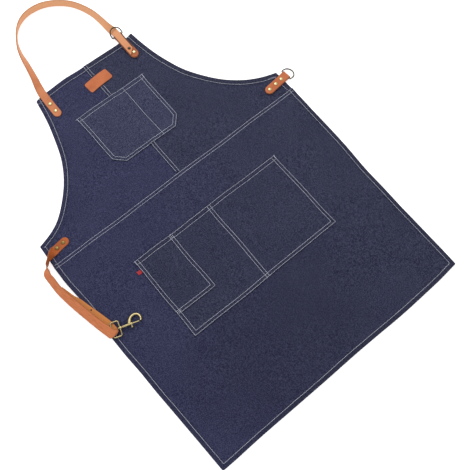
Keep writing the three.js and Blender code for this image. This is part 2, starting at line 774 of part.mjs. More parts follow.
add("hook_body", shank.add(skin(loopRings, false)).subtract(bore).subtract(slot), BRASS, 0.25, 1, swivel);
const stem = solid(
  new THREE.CylinderGeometry(BOLT.stem, BOLT.stem, -BOLT.stemTo, 10).translate(BOLT.stemAt, BOLT.stemTo / 2, 0),
);
const knob = solid(new THREE.SphereGeometry(BOLT.knob, 12, 8).translate(BOLT.stemAt, BOLT.stemTo - 1.2, 0));
add("hook_bolt", bolt.add(stem).add(knob), BRASS, 0.25, 1, swivel);

export default part;
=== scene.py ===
"""A denim work apron lying face up on a pale floor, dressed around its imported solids.

Lengths are millimetres from the middle of the waist seam, until a mesh is made in the frame's metres.
"""
import math

import bmesh
import bpy
import numpy as np
from mathutils import Matrix, Vector
from mathutils.geometry import delaunay_2d_cdt
from mathutils.kdtree import KDTree


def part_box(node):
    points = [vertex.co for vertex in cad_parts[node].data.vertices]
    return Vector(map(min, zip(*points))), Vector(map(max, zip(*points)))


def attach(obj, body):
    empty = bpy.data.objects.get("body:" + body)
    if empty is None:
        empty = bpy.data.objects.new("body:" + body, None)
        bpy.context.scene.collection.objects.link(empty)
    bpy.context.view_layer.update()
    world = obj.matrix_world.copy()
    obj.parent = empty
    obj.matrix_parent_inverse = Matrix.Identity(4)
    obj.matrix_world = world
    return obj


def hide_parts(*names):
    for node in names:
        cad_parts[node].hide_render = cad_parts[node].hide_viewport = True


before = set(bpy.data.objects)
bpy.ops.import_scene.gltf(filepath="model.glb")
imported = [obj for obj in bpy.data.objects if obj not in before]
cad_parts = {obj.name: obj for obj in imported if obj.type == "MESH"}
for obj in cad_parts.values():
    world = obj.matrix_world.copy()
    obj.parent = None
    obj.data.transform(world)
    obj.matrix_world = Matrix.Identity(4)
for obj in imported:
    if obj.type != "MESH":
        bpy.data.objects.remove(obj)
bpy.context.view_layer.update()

MM = 0.001
rng = np.random.default_rng(7)

# camera and light
CAMERA_EYE = (-311.3, -561.7, 1394.0)
CAMERA_AIM = (3.0, -185.9, 0.0)
CAMERA_LENS = 53.66
CAMERA_SENSOR = 36.0
FLOOR_HALF = 9000
FLOOR_PAINT = (0.93, 0.93, 0.93, 1)
FLOOR_GLOW = 0.45
SKY = 0.95
KEY_PLACE = (500, 1300, 1900)
KEY_AIM = (0, 0, 0)
KEY_SIZE = 1300
KEY_POWER = 22

# the cloth's layers and edges
CLOTH = 1.2  # thickness of one layer
LIFT = 1.5  # from the underside of one layer to that of the next
HEM = 2.8  # thickness of a hem
HEM_WIDTH = 11
BIB_HEM = 12.8  # width of the bib's hems
RIM = 2.0  # thickness of a pocket's turned edge
RIM_WIDTH = 10
BAND_SOFT = 1.2  # half the run over which a turned edge thins out
CLOTH_CORNER = 2.0
CLOTH_FOLD = 1.1  # how far in from its edge the cloth is rounded
SEAM_DIP = 0.32
SEAM_DIP_REACH = 1.1
SEAM_MARK = 2.0  # how far a sewn row shades the cloth
ROPE_HEIGHT = 0.10  # of the slanting ridges that sewing raises beside a row
ROPE_WAY = (0.62, 0.45)
ROPE_REACH = 5

# the cloth's cuts and sewn rows
LAP_TOP = 3.0
LAP_BOTTOM = -10.0
HEM_ROW = 9.4
RIGHT_ARM_ROW = 11.5
TOP_ROW = 12.0
WAIST_ROWS = (0.8, -6.0)
WAIST_RISE = (-17, -9)  # where the skirt climbs onto the bib
HEM_HALF = 315
CENTRE_LAP = (-4, 6)
CENTRE_BUTT = (0.85, 1.15)  # edges of the two halves of the bib below their lap
CENTRE_ROWS = (-2.5, 4.2)
CENTRE_FALL = (7, 14)  # where the right half comes down off the left one
BUTT = 4.4  # height at which the lap ends
ROW_INSET = 0.5
ARMHOLE = [
    # half width, height above the waist seam
    (137, 350),
    (142, 310),
    (149.5, 270),
    (161, 230),
    (174, 195),
    (193, 160),
    (215, 130),
    (240, 105),
    (266, 85),
    (292, 70),
    (312, 61.5),
    (328, 56),
]
BIB_SIDE = 328.9
BIB_SIDE_LOW = 327.6
CHEST_CORNER = 24
CHEST_CORNER_RUN = 22
CHEST_NARROWS = 1.5
PEN_LINE = 33.0
EDGE_ROWS = (1.6, 8.4)
MOUTH_ROWS = (1.6, 10.4)
DIVIDERS = [
    # across at the top, across at the bottom
    (-3.4, -6),
    (3.4, 0.6),
]
CHEST_RISE = (-9, -4.5)  # where the chest pocket climbs onto the centre lap
CHEST_FALL = (9.5, 15)
CHEST_PUFF = 1.4
LOWER_PUFF = 1.6
TOOL_PUFF = 1.2
PUFF_REACH = (6, 60)

# how the cloth lies
CALM_REACH = (25, 100)  # from leather and metal, which hold the cloth down
RIPPLES = [
    # wavelength, bearing of travel, start in turns, height
    (310, 24, 0.10, 0.9),
    (190, 118, 0.42, 0.7),
    (130, 71, 0.77, 0.5),
    (95, 152, 0.25, 0.3),
]
DRIFTS = [
    # wavelength, bearing of travel, start in turns, sideways, lengthways
    (260, 15, 0.30, 0.5, 0.7),
    (150, 100, 0.65, 0.5, 0.4),
    (85, 55, 0.05, 0.2, 0.3),
]
PULLS = [
    # place, reach, sideways, lengthways
    (-331, -45, 60, -3.6, 0),
    (-324, -235, 90, -4.0, 0),
    (-319, -400, 80, -2.6, 0),
    (322, -300, 95, -4.4, 0),
    (316, -455, 70, -2.6, 0),
    (-290, -530, 75, -1.2, -2.4),
    (-110, -530, 100, 0, -3.9),
    (55, -530, 60, 0, -1.9),
    (160, -530, 85, 0, -5.2),
    (316, -530, 35, -0.6, 2.0),
    (-158, 240, 70, -2.8, 0),
    (-275, 82, 45, 2.2, -3.6),
    (235, 110, 55, -1.3, -1.7),
    (160, 235, 45, -1.8, 0),
    (-60, 352, 45, 0, 3.0),
    (30, 352, 40, 0, 2.2),
    (-141, 350, 13, 0, -4.6),
    (139, 350, 16, 0, 4.6),
]

# stitches
PITCH = 3.2
THREAD = 0.38
TACK_PITCH = 0.9
TACK_REACH = 10
TACK_IN = 1
ARM_TACK = (302, 54.5, 18, -6)  # place, reach sideways and lengthways
STITCH_RINGS = [
    # along the stitch, height over the cloth, radius as a share of the thread's
    (-0.46, -0.30, 0.45),
    (-0.33, 0.16, 0.90),
    (0.0, 0.28, 1.00),
    (0.33, 0.16, 0.90),
    (0.46, -0.30, 0.45),
]
STITCH_SIDES = 6
STITCH_STRAY = 0.10
STITCH_LENGTHS = (0.94, 1.04)

# leather and tape
STRAP_HALF = 9.5
TAB_HALF = 10.2
STRAP_EDGE = 0.85
STRAP_EDGE_MOST = 0.8  # as a share of the half width
STRAP_STEPS = 7  # sections from one row of a strap's table to the next
STRAP_FINE = 60  # points for measuring a strap, for each row
TIP_GAP = 0.4  # between a round end's last section and the next one
TAB_TIP_GAP = 0.5
NECK_STRAP_THICK = 2.5
WAIST_STRAP_THICK = 2.2
STRAP_HOLE = (-325, -124, 1.7, 6.5)  # place, radius and the height that it is cut from
TAB_THICK = 2.0
TAPE_THICK = 0.55
TAPE_LIFT = 0.4
TAPE_RISE = (2, 10)  # from the pocket, where the tape lifts
TAB_Z = 3.1
BAR_Z = 5.25
BAR_ROOM = 1.75
TAB_NECK = 12  # how far before the bar a tab's leaves part
NECK_STRAP = [
    # x, y, z of the middle line, bearing and rise of the way to the outer edge, half width if not STRAP_HALF
    (-117, 282, 2.8, 180, 0),
    (-117, 301, 2.8, 180, 0),
    (-116.5, 325, 2.85, 180, 0),
    (-116, 337, 4.5, 180, 0),
    (-115.5, 351, 4.8, 180, 1),
    (-113.5, 364, 5.6, 180, 12),
    (-110.5, 378, 7.2, 178, 30),
    (-107, 392, 8.4, 176, 39),
    (-102, 418, 9.1, 172, 48.5),
    (-97.5, 446, 9.6, 168, 55),
    (-92, 474, 10.1, 163, 74),
    (-81.5, 500.7, 10.4, 152, 95),
    (-66.2, 524.2, 10.4, 139, 100),
    (-46.4, 540.8, 10.4, 120, 94),
    (-20.2, 550, 10.4, 98, 88),
    (14.5, 547.6, 10.4, 72, 84),
    (45, 533.2, 10.4, 56, 83),
    (72, 508.4, 10.4, 38, 79),
    (87.2, 482.5, 10.4, 23, 74),
    (97.5, 452.4, 10.4, 14, 68),
    (100.8, 431, 10.4, 9, 62),
    (102.2, 415, 10.2, 6, 57.5),
    (102.9, 402, 9.8, 4, 51),
    (104.3, 391, 9.4, 2, 36),
    (106.4, 381, 9, 0, 14, 9.2),
    (107.2, 367, 10.7, 0, 2, 8.5),
    (107, 352, 9.1, 0, 0, 8),
    (106.8, 335, 8.95, 0, 0, 8),
    (106.6, 319, 8.95, 0, 0, 8),
    (106.5, 303.5, 8.95, 0, 0, 8),
]
NECK_STRAP_CUT = (101, 304, 44)  # place and turn
WAIST_STRAP = [
    # columns as above, then how far the section is pushed away from the outer edge
    (-272, 32.5, 2.7, 278, 0),
    (-288, 31, 2.7, 278, 0),
    (-301, 29.3, 2.75, 278, 0),
    (-307, 28.2, 3.6, 280, -5),
    (-312.3, 25.5, 8.6, 285, -38),
    (-317.6, 22.9, 11.1, 293, -60),
    (-325, 18.8, 12.4, 302, -77),
    (-333, 14.3, 12.2, 310, -92),
    (-342.5, 5.4, 11, 141, -75),
    (-347, -0.6, 9.8, 148, -47),
    (-350.2, -6.4, 9, 158, -37),
    (-351.2, -13.7, 9, 170, -42),
    (-350.8, -24, 9.2, 178, -38),
    (-350.88, -48, 9.6, 186, -38),
    (-348, -71.2, 9.8, 191, -33),
    (-342.9, -100.3, 10.3, 194, -28),
    (-337, -130.3, 11.3, 196, -28),
    (-330.4, -160.3, 12.3, 196, -23),
    (-324.4, -183.4, 13, 196, -12),
    (-321.4, -194, 13.2, 196, -10),
    (-319.8, -197, 12.2, 196, -8, 8, 3.5),
    (-318.5, -197.9, 8.8, 196, -6, 5.2, 5.5),
    (-318.9, -196.7, 5.5, 196, -2, 6, 6),
    (-320.1, -192.6, 4.4, 196, 0, 8, 6),
    (-322, -170, 4.4, 196, 0, STRAP_HALF, 5),
    (-323.8, -142.8, 4.4, 196, 0),
    (-330.5, -118.8, 4.3, 196, 0),
    (-336.8, -94.8, 3.4, 195, -2),
    (-343.2, -79, 2.6, 194, -2, 8.5, 1),
    (-347, -64, 2.2, 192, -2, 7.5, 2),
    (-351, -46, 2.2, 190, -2, 6.5, 2.5),
]
TABS = {
    # place of the round end, length to the ring's bar, turn
    "neck_tab": (108.5, 293, 73.5, 0),
    "waist_tab": (275.5, 28.6, 64.5, -84.3),
}
PATCH_TURN = 4.5
PATCH_SIZE = (63, 29.5)
PATCH_CORNER = 5.85
PATCH_STEP = 1.2
PATCH_THICK = 1.8
PATCH_EDGE = 0.8
PATCH_GAP = 0.2
PATCH_FALL = (7, 26)  # from the middle of the centre lap, where the patch comes down off it

# metal
RING_WIRE = 1.4
RING_HALF = 14
RING_LEG = 6.5
RING_CORNER = 2.5
RINGS = {
    # place of the bar's middle, turn, rise of the bow
    "neck_ring": (108, 366.5, 0, 32),
    "waist_ring": (339.68, 35.006, -84.3, -10.5),
}
RIVETS = [
    "neck_strap_rivet_upper",
    "neck_strap_rivet_lower",
    "neck_tab_rivet",
    "waist_tab_rivet_inner",
    "waist_tab_rivet_middle",
    "waist_tab_rivet_outer",
    "waist_strap_rivet_inner",
    "waist_strap_rivet_outer",
]
RIVET_HEAD = 4.3
RIVET_DOME = 2.0
STUD_HEAD = 3.6
STUD_DOME = 2.6
SHANK_RADIUS = 1.5
BACK_RADIUS = 3.4
BACK_THICK = 0.5
RIVET_BRIM = [
    # share of the head's radius, share of the dome's height
    (0.96, 0),
    (1, 0.08),
    (1, 0.2),
]
CAP_WIDE = 0.97
CAP_LOW = 0.16
CAP_SWEEP = (12, 86)  # degrees up the dome
HOOK = (-302.2, -191.4, 7.6)
HOOK_TURN = -18.7
HOOK_LIE = -12
EYE_BACK = 16.5
EYE_HALF = 16
EYE_CORNER = 3.5
EYE_WIRE = 1.5
EYE_STEP = 1.5
# radius, place along the shank
COLLAR = [(1.6, -1.7), (2.6, -1.7), (3.1, -1.2), (3.2, -0.6), (3.2, 2.4), (2.9, 3.3), (2.4, 3.9), (1.6, 4.0)]
SHANK = [
    (0, -3.6), (2.0, -3.6), (2.4, -3.2), (2.4, -2.4), (2.0, -2.0), (1.2, -2.0), (1.2, 4.4),
    (2.1, 4.4), (2.45, 4.8), (2.6, 5.6), (2.6, 26.6), (2.3, 27.0), (0, 27.0),
]
PIN_ROOM = [(0, -8), (1.6, -8), (1.6, 8), (0, 8)]
BORE = [(0, 8.5), (1.75, 8.5), (1.75, 32), (0, 32)]
BOLT = [(0, 17), (1.4, 17), (1.4, 40.6), (1.2, 41), (0.9, 41.2), (0, 41.2)]
BOLT_STEM_AT = 24
BOLT_STEM = [
    # radius, distance from the shank's middle
    (0, 0), (1.1, 0), (1.1, 5.2), (1.5, 5.5), (2.15, 6.3), (2.3, 7.2), (2.05, 8.3), (1.3, 9.2), (0, 9.5),
]
SLOT_FROM = 14.5
SLOT_TO = 25.5
SLOT_HALF = 1.4
SLOT_DEPTH = 9
HOOK_LOOP = [
    # along the shank, across it, wire radius
    (19.5, 1, 3.6),
    (22.2, 7, 3.9),
    (25.2, 12.4, 3.1),
    (30, 16.2, 2.7),
    (36, 17.6, 2.5),
    (41.6, 15.2, 2.4),
    (44.9, 10, 2.3),
    (45.3, 4.6, 2.2),
    (43.7, 0, 2.1),
]
METAL_SIDES = 32
WIRE_SIDES = 20
HOLE_SIDES = 24

skirt_low, skirt_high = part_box("skirt_panel")
SEAM = np.array([(skirt_low.x + skirt_high.x) / 2 / MM, skirt_high.y / MM - LAP_TOP, 0.0])


def corners(node):
    """A node's lowest and highest corner, from the middle of the waist seam."""
    low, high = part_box(node)
    return np.array(low) / MM - SEAM, np.array(high) / MM - SEAM


def middle(node):
    low, high = corners(node)
    return (low + high) / 2


def ease(value, start, end):
    """0 before start, 1 after end and smooth between them."""
    share = np.clip((value - start) / (end - start), 0, 1)
    return share * share * (3 - 2 * share)


def fading(gap, reach):
    """1 at no distance, and nearly 0 at twice the reach."""
    return np.exp(-((gap / reach) ** 2))


def unit(vectors):
    """The vectors at a length of 1."""
    return vectors / np.linalg.norm(vectors, axis=1)[:, None]


def heading(bearing):
    """The direction at a bearing in degrees from +X."""
    return np.array([math.cos(math.radians(bearing)), math.sin(math.radians(bearing))])


def rotation(degrees, axis):
    return Matrix.Rotation(math.radians(degrees), 4, axis)


def round_angles(sides):
    return np.arange(sides) / sides * 2 * math.pi


# shapes in the plane


CORNER_LIMIT = 2.5  # a side is at least so many times as long as what a corner takes of it
MITRE_LIMIT = 0.4
TINY = 1e-4
NOTHING = 1e-9
CHUNK = 4000  # points compared at a time


def run_lengths(line):
    """How far along a line each of its points is."""
    return np.concatenate([[0], np.cumsum(np.linalg.norm(np.diff(line, axis=0), axis=1))])


def distance(points, line):
    """How far each point is from a line of straight pieces."""
    starts = line[:-1]
    steps = line[1:] - line[:-1]
    squares = np.maximum((steps ** 2).sum(1), NOTHING)
    found = []
    for part in np.array_split(points, max(1, len(points) // CHUNK)):
        from_start = part[:, None] - starts
        share = np.clip((from_start * steps).sum(2) / squares, 0, 1)
        found.append(np.linalg.norm(from_start - share[..., None] * steps, axis=2).min(1))
    return np.concatenate(found)


def nearest(points, lines):
    """How far each point is from the nearest of several lines."""
    return np.min([distance(points, line) for line in lines], axis=0)


def inside(points, outline):
    """Which points lie inside a closed outline."""
    x, y = points[:, 0, None], points[:, 1, None]
    ends = np.roll(outline, -1, axis=0)
    crosses = (outline[:, 1] > y) != (ends[:, 1] > y)
    rise = np.where(ends[:, 1] == outline[:, 1], NOTHING, ends[:, 1] - outline[:, 1])
    reach = outline[:, 0] + (y - outline[:, 1]) * (ends[:, 0] - outline[:, 0]) / rise
    return (crosses & (x < reach)).sum(1) % 2 == 1


def spaced(line, step):
    """Points along a line at even steps, both ends included."""
    lengths = run_lengths(line)
    places = np.linspace(0, lengths[-1], max(2, round(lengths[-1] / step) + 1))
    return np.stack([np.interp(places, lengths, column) for column in line.T], axis=1)


def sampled(line, step):
    """A line whose straight pieces are cut into steps, with its own points kept."""
    pieces = [spaced(np.array(ends), step)[:-1] for ends in zip(line[:-1], line[1:])]
    return np.vstack([*pieces, line[-1:]])


def beside(line, gap):
    """The line moved to its left, with mitred corners."""
    ways = unit(np.diff(line, axis=0))
    before = np.vstack([ways[:1], ways])
    after = np.vstack([ways, ways[-1:]])
    left = unit(np.stack([-(before + after)[:, 1], (before + after)[:, 0]], axis=1))
    share = left[:, 1] * before[:, 0] - left[:, 0] * before[:, 1]
    return line + left * (gap / np.maximum(share, MITRE_LIMIT))[:, None]


def rounded(outline, radius, steps=5):
    """A closed outline whose corners are rounded."""
    points = []
    for here, last, following in zip(outline, np.roll(outline, 1, axis=0), np.roll(outline, -1, axis=0)):
        back, ahead = last - here, following - here
        long_back, long_ahead = np.linalg.norm(back), np.linalg.norm(ahead)
        reach = min(radius, long_back / CORNER_LIMIT, long_ahead / CORNER_LIMIT)
        start = here + back / long_back * reach
        end = here + ahead / long_ahead * reach
        for share in np.linspace(0, 1, steps):
            points.append((1 - share) ** 2 * start + 2 * share * (1 - share) * here + share ** 2 * end)
    return np.array(points)


def closed(outline):
    return np.vstack([outline, outline[:1]])


def spline(rows, places, centripetal=False):
    """Points on a smooth curve through the rows, at places from 0 to 1 that count the rows evenly."""
    rows = np.asarray(rows, float)
    wide = np.vstack([2 * rows[0] - rows[1], rows, 2 * rows[-1] - rows[-2]])
    reach = np.clip(places, 0, 1) * (len(rows) - 1)
    start = np.minimum(reach.astype(int), len(rows) - 2)
    u = (reach - start)[:, None]
    p0, p1, p2, p3 = (wide[start + k] for k in range(4))
    leave = (p2 - p0) / 2
    arrive = (p3 - p1) / 2
    if centripetal:
        spans = (p1 - p0, p2 - p1, p3 - p2)
        d0, d1, d2 = (np.linalg.norm(span, axis=1)[:, None] ** 0.5 for span in spans)
        leave = ((p1 - p0) / d0 - (p2 - p0) / (d0 + d1) + (p2 - p1) / d1) * d1
        arrive = ((p2 - p1) / d1 - (p3 - p1) / (d1 + d2) + (p3 - p2) / d2) * d1
    c2 = 3 * (p2 - p1) - 2 * leave - arrive
    c3 = 2 * (p1 - p2) + leave + arrive
    return p1 + leave * u + c2 * u ** 2 + c3 * u ** 3


# how the cloth lies


CALM_NODES = [*RIVETS, "leather_patch", "hook_eye", "hook_body", "neck_tab", "waist_tab"]
calm_places = np.array([middle(node)[:2] for node in CALM_NODES])


def calm(points):
    """0 beside the leather and metal and 1 well away from them."""
    gaps = np.linalg.norm(points[:, None] - calm_places, axis=2).min(1)
    return ease(gaps, *CALM_REACH)


def waves(points, wavelength, bearing, start):
    """Waves from -1 to 1 that travel over the plane."""
    return np.sin(2 * math.pi * (points @ heading(bearing) / wavelength + start))


def lift(points):
    """How far the cloth stands off the floor."""
    total = sum(0.5 * height * (1 + waves(points, *wave)) for *wave, height in RIPPLES)
    return total * calm(points)


def drift(points):
    """How far sewing and handling have pulled the cloth aside."""
    total = np.zeros(points.shape)
    for *wave, sideways, lengthways in DRIFTS:
        total += waves(points, *wave)[:, None] * np.array([sideways, lengthways])
    total *= calm(points)[:, None]
    for x, y, reach, sideways, lengthways in PULLS:
        near = np.exp(-((points - (x, y)) ** 2).sum(1) / reach ** 2)
        total += near[:, None] * np.array([sideways, lengthways])
    return total


OUTLINE_STEP = 2.5


class Panel:
    """A cut of cloth: its outline, turned edges and sewn rows, and the height that its underside lies at."""

    def __init__(self, outline, turned, rows, under, turn=HEM, band=HEM_WIDTH, turns=2):
        edge = rounded(np.array(outline, float), CLOTH_CORNER)
        self.outline = sampled(closed(edge), OUTLINE_STEP)[:-1]
        self.turned = [np.array(line, float) for line in turned]
        self.rows = [np.array(line, float) for line in rows]
        self.under = under
        self.turn = turn
        self.band = band
        self.turns = turns

    def edge_band(self, points):
        return 1 - ease(nearest(points, self.turned), self.band - BAND_SOFT, self.band + BAND_SOFT)

    def thickness(self, points):
        gap = nearest(points, self.rows)
        rope = ROPE_HEIGHT * np.sin(points @ np.array(ROPE_WAY)) * fading(gap, ROPE_REACH)
        turned = (self.turn - CLOTH) * self.edge_band(points)
        return CLOTH + turned + rope - SEAM_DIP * fading(gap, SEAM_DIP_REACH)

    def top(self, points):
        return self.under(points) + self.thickness(points)

    def cut(self):
        """The size of the cloth that it is cut from, turnings included, and the cut's area, in metres."""
        turning = self.band * self.turns
        low, high = self.outline.min(0), self.outline.max(0)
        width, length = (high - low + 2 * turning) * MM
        ends = np.roll(self.outline, -1, axis=0)
        area = abs((self.outline[:, 0] * ends[:, 1] - ends[:, 0] * self.outline[:, 1]).sum()) / 2
        edge = sum(run_lengths(line)[-1] for line in self.turned)
        return (width, length), (area + edge * turning) * MM * MM


def armhole():
    """The right armhole from the waist corner up to the bib's top."""
    return spline(ARMHOLE[::-1], np.linspace(0, 1, 60))


def mirrored(line):
    return np.array(line)[::-1] * (-1, 1)


def plain_height(height):
    """The same height everywhere."""
    return lambda points: np.full(len(points), float(height))


(_, hem_y, _), (waist_half, _, _) = corners("skirt_panel")
_, (_, bib_top, _) = corners("bib_right")
skirt_edge = np.array([(-waist_half, LAP_TOP), (-HEM_HALF, hem_y), (HEM_HALF, hem_y), (waist_half, LAP_TOP)])
bib_side = np.vstack([[(BIB_SIDE, BUTT)], armhole()])
bib_edge = np.vstack([bib_side, [(CENTRE_LAP[0], bib_top)]])
left_bib_side = mirrored(bib_side)
left_bib_edge = np.vstack([[(CENTRE_LAP[1], bib_top)], left_bib_side])
waist_rows = [[(-waist_half, y), (waist_half, y)] for y in WAIST_ROWS]
bib_corner = ARMHOLE[0][0]
top_row = [(CENTRE_LAP[0], bib_top - TOP_ROW), (TABS["neck_tab"][0], bib_top - TOP_ROW)]
left_top_row = [(-bib_corner, bib_top - TOP_ROW), (CENTRE_LAP[0], bib_top - TOP_ROW)]
patch_low, patch_high = corners("leather_patch")
chest_low, chest_high = corners("chest_pocket")
centre_runs = [(bib_top - ROW_INSET, patch_high[1]), (patch_low[1], chest_high[1]), (chest_low[1], BUTT)]
centre_rows = [[(x, start), (x, end)] for x in CENTRE_ROWS for start, end in centre_runs]

skirt = Panel(
    outline=skirt_edge,
    turned=[skirt_edge],
    rows=[*waist_rows, beside(skirt_edge, HEM_ROW)],
    under=lambda p: LIFT * ease(p[:, 1], *WAIST_RISE),
)
bib_right = Panel(
    outline=[
        (CENTRE_BUTT[1], LAP_BOTTOM),
        (BIB_SIDE_LOW, LAP_BOTTOM),
        *bib_edge,
        (CENTRE_LAP[0], BUTT),
        (CENTRE_BUTT[1], BUTT),
    ],
    turned=[bib_edge],
    rows=[beside(bib_side, RIGHT_ARM_ROW), top_row, *centre_rows],
    under=lambda p: LIFT * (1 - ease(p[:, 0], *CENTRE_FALL)) * ease(p[:, 1], BUTT - 1, BUTT),
    band=BIB_HEM,
)
bib_left = Panel(
    outline=[
        (-BIB_SIDE_LOW, LAP_BOTTOM),
        (CENTRE_BUTT[0], LAP_BOTTOM),
        (CENTRE_BUTT[0], BUTT),
        (CENTRE_LAP[1], BUTT),
        *left_bib_edge,
    ],
    turned=[left_bib_edge],
    rows=[beside(left_bib_side, HEM_ROW), left_top_row],
    under=plain_height(0),
    band=BIB_HEM,
)


def pocket_edges(node, corner=0, run=0, narrows=0):
    """The sewn edge of a pocket from its top left corner round to its top right."""
    (left, bottom, _), (right, top, _) = corners(node)
    if not corner:
        return np.array([(left, top), (left, bottom), (right, bottom), (right, top)])
    return np.array(
        [
            (left, top),
            (left + narrows, bottom + corner),
            (left + narrows + run, bottom),
            (right - narrows - run, bottom),
            (right - narrows, bottom + corner),
            (right, top),
        ]
    )


def mouth_rows(edge, over):
    """The rows along a pocket's open edge. The upper one runs a little past its corners."""
    (left, top), right = edge[0], edge[-1][0]
    outer, inner = MOUTH_ROWS
    return [
        [(left - over, top - outer), (right + over, top - outer)],
        [(left, top - inner), (right, top - inner)],
    ]


chest_edge = pocket_edges("chest_pocket", CHEST_CORNER, CHEST_CORNER_RUN, CHEST_NARROWS)
lower_edge = pocket_edges("lower_pocket")
tool_edge = pocket_edges("tool_pocket")
lower_top = lower_edge[0][1]
lower_bottom = lower_edge[1][1]
pen_row = [(PEN_LINE, chest_edge[0][1]), (PEN_LINE, chest_edge[2][1])]
divider_rows = [[(above, lower_top), (below, lower_bottom)] for above, below in DIVIDERS]
tool_corner = tool_edge[1:]
tool_rows = [beside(tool_corner, gap) for gap in EDGE_ROWS]


def puffed(base, sewn, height):
    """A height that swells between the sewn rows."""
    lines = [np.array(line, float) for line in sewn]
    return lambda p: base(p) + height * ease(nearest(p, lines), *PUFF_REACH)


def over_centre_lap(p):
    """How high the chest pocket lies, where the two halves of the bib lap and beside that."""
    return LIFT + LIFT * ease(p[:, 0], *CHEST_RISE) * (1 - ease(p[:, 0], *CHEST_FALL))


def pocket(edge, rows, under):
    """A patch pocket, turned once all round."""
    return Panel(edge, [closed(edge)], rows, under, turn=RIM, band=RIM_WIDTH, turns=1)


chest = pocket(
    chest_edge,
    rows=[*(beside(chest_edge, gap) for gap in EDGE_ROWS), *mouth_rows(chest_edge, over=3), pen_row],
    under=puffed(over_centre_lap, [chest_edge, pen_row], CHEST_PUFF),
)
lower_height = puffed(plain_height(LIFT), [lower_edge, divider_rows[0], tool_corner], LOWER_PUFF)
lower = pocket(
    lower_edge,
    rows=[*(beside(lower_edge, gap) for gap in EDGE_ROWS), *mouth_rows(lower_edge, over=2.5), *divider_rows],
    under=lower_height,
)
tool = pocket(
    tool_edge,
    rows=[*tool_rows, *mouth_rows(tool_edge, over=0), beside(tool_edge[:2], EDGE_ROWS[1])],
    under=puffed(lambda p: lower_height(p) + LIFT, [tool_edge], TOOL_PUFF),
)
PANELS = {
    "bib_left": bib_left,
    "bib_right": bib_right,
    "skirt_panel": skirt,
    "chest_pocket": chest,
    "lower_pocket": lower,
    "tool_pocket": tool,
}


def surface(points):
    """The height of the uppermost cloth at each point, before it is lifted off the floor."""
    height = np.zeros(len(points))
    for panel in PANELS.values():
        held = inside(points, panel.outline)
        if held.any():
            height[held] = np.maximum(height[held], panel.top(points[held]))
    return height


# meshes


EDGE_STEPS = (0.2, 0.6, 1.2, 2.2, 3.6, 5.4, 7.2)  # rows of points along the edge of a sheet
EDGE_GAP = 0.9
EDGE_SLACK = 0.05
ON_EDGE = 1e-3
ROW_SIDES = (0, -1.5, 1.5)  # rows of points along a sewn row
POINT_GAP = 1.3
GRID_ROW = 0.866  # height of an even triangle over its side
TIP_STEPS = 1 - np.cos(np.radians([8, 18, 30, 42, 54, 66, 78, 88]))  # sections of a round end
ALONG_SHANK = rotation(90, "Y")
UP = np.array([0, 0, 1.0])
# angles past which an edge is sharp
LEATHER_CREASE = 50
TAPE_CREASE = 60
RIVET_CREASE = 40
HOOK_CREASE = 35


def placed(name, data):
    """A new object in the scene."""
    thing = bpy.data.objects.new(name, data)
    bpy.context.scene.collection.objects.link(thing)
    return thing


def make_piece(name, points, faces, body, paint, crease=None, marks=None):
    """A mesh object from points in millimetres, riding on a body."""
    mesh = bpy.data.meshes.new(name)
    metres = (np.asarray(points, float).reshape(-1, 3) + SEAM) * MM
    mesh.from_pydata(metres.tolist(), [], [list(map(int, face)) for face in faces])
    for mark, values in (marks or {}).items():
        wide = np.ndim(values) == 2
        layer = mesh.attributes.new(mark, "FLOAT_VECTOR" if wide else "FLOAT", "POINT")
        layer.data.foreach_set("vector" if wide else "value", np.asarray(values, np.float32).ravel())
    mesh.shade_smooth()
    if crease:
        mesh.set_sharp_from_angle(angle=math.radians(crease))
    mesh.materials.append(paint)
    mesh.validate()
    piece = placed(name, mesh)
    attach(piece, body)
    return piece


def thinned(points, gap):
    """The points, without those that fall nearer than the gap to one before them."""
    cells = {}
    kept = []
    for x, y in points:
        column, row = int(x // gap), int(y // gap)
        near = (cells.get((column + i, row + j)) for i in (-1, 0, 1) for j in (-1, 0, 1))
        if all(other is None or (x - other[0]) ** 2 + (y - other[1]) ** 2 >= gap * gap for other in near):
            cells[column, row] = (x, y)
            kept.append((x, y))
    return np.array(kept).reshape(-1, 2)


def fill(outline, rows, step):
    """Triangles over an outline, finer along its edge and its sewn rows. The outline's points come first."""
    loop = closed(outline)
    wide = np.vstack([outline[-1:], loop])
    fringe = []
    for gap in EDGE_STEPS:
        ring = beside(wide, gap)[1:-1]
        ring = ring[inside(ring, outline)]
        fringe.append(ring[distance(ring, loop) > gap - EDGE_SLACK])
    seams = [sampled(beside(row, gap), OUTLINE_STEP) for row in rows for gap in ROW_SIDES]
    low, high = outline.min(0), outline.max(0)
    across = np.arange(low[0], high[0], step)
    down = np.arange(low[1], high[1], step * GRID_ROW)
    grid = np.array([(x + step / 2 * (k % 2), y) for k, y in enumerate(down) for x in across])
    inner = np.vstack([*seams, grid])
    inner = inner[inside(inner, outline)]
    if not seams:
        inner = inner[distance(inner, loop) > EDGE_STEPS[-1] + EDGE_GAP]
    inner = thinned(inner, POINT_GAP)
    near_edge = distance(inner, loop) < EDGE_GAP
    points = [Vector(p) for p in np.vstack([outline, *fringe, inner[~near_edge]])]
    verts, _, faces, _, _, _ = delaunay_2d_cdt(points, [], [list(range(len(outline)))], 1, TINY)
    return np.array(verts), np.array(faces)


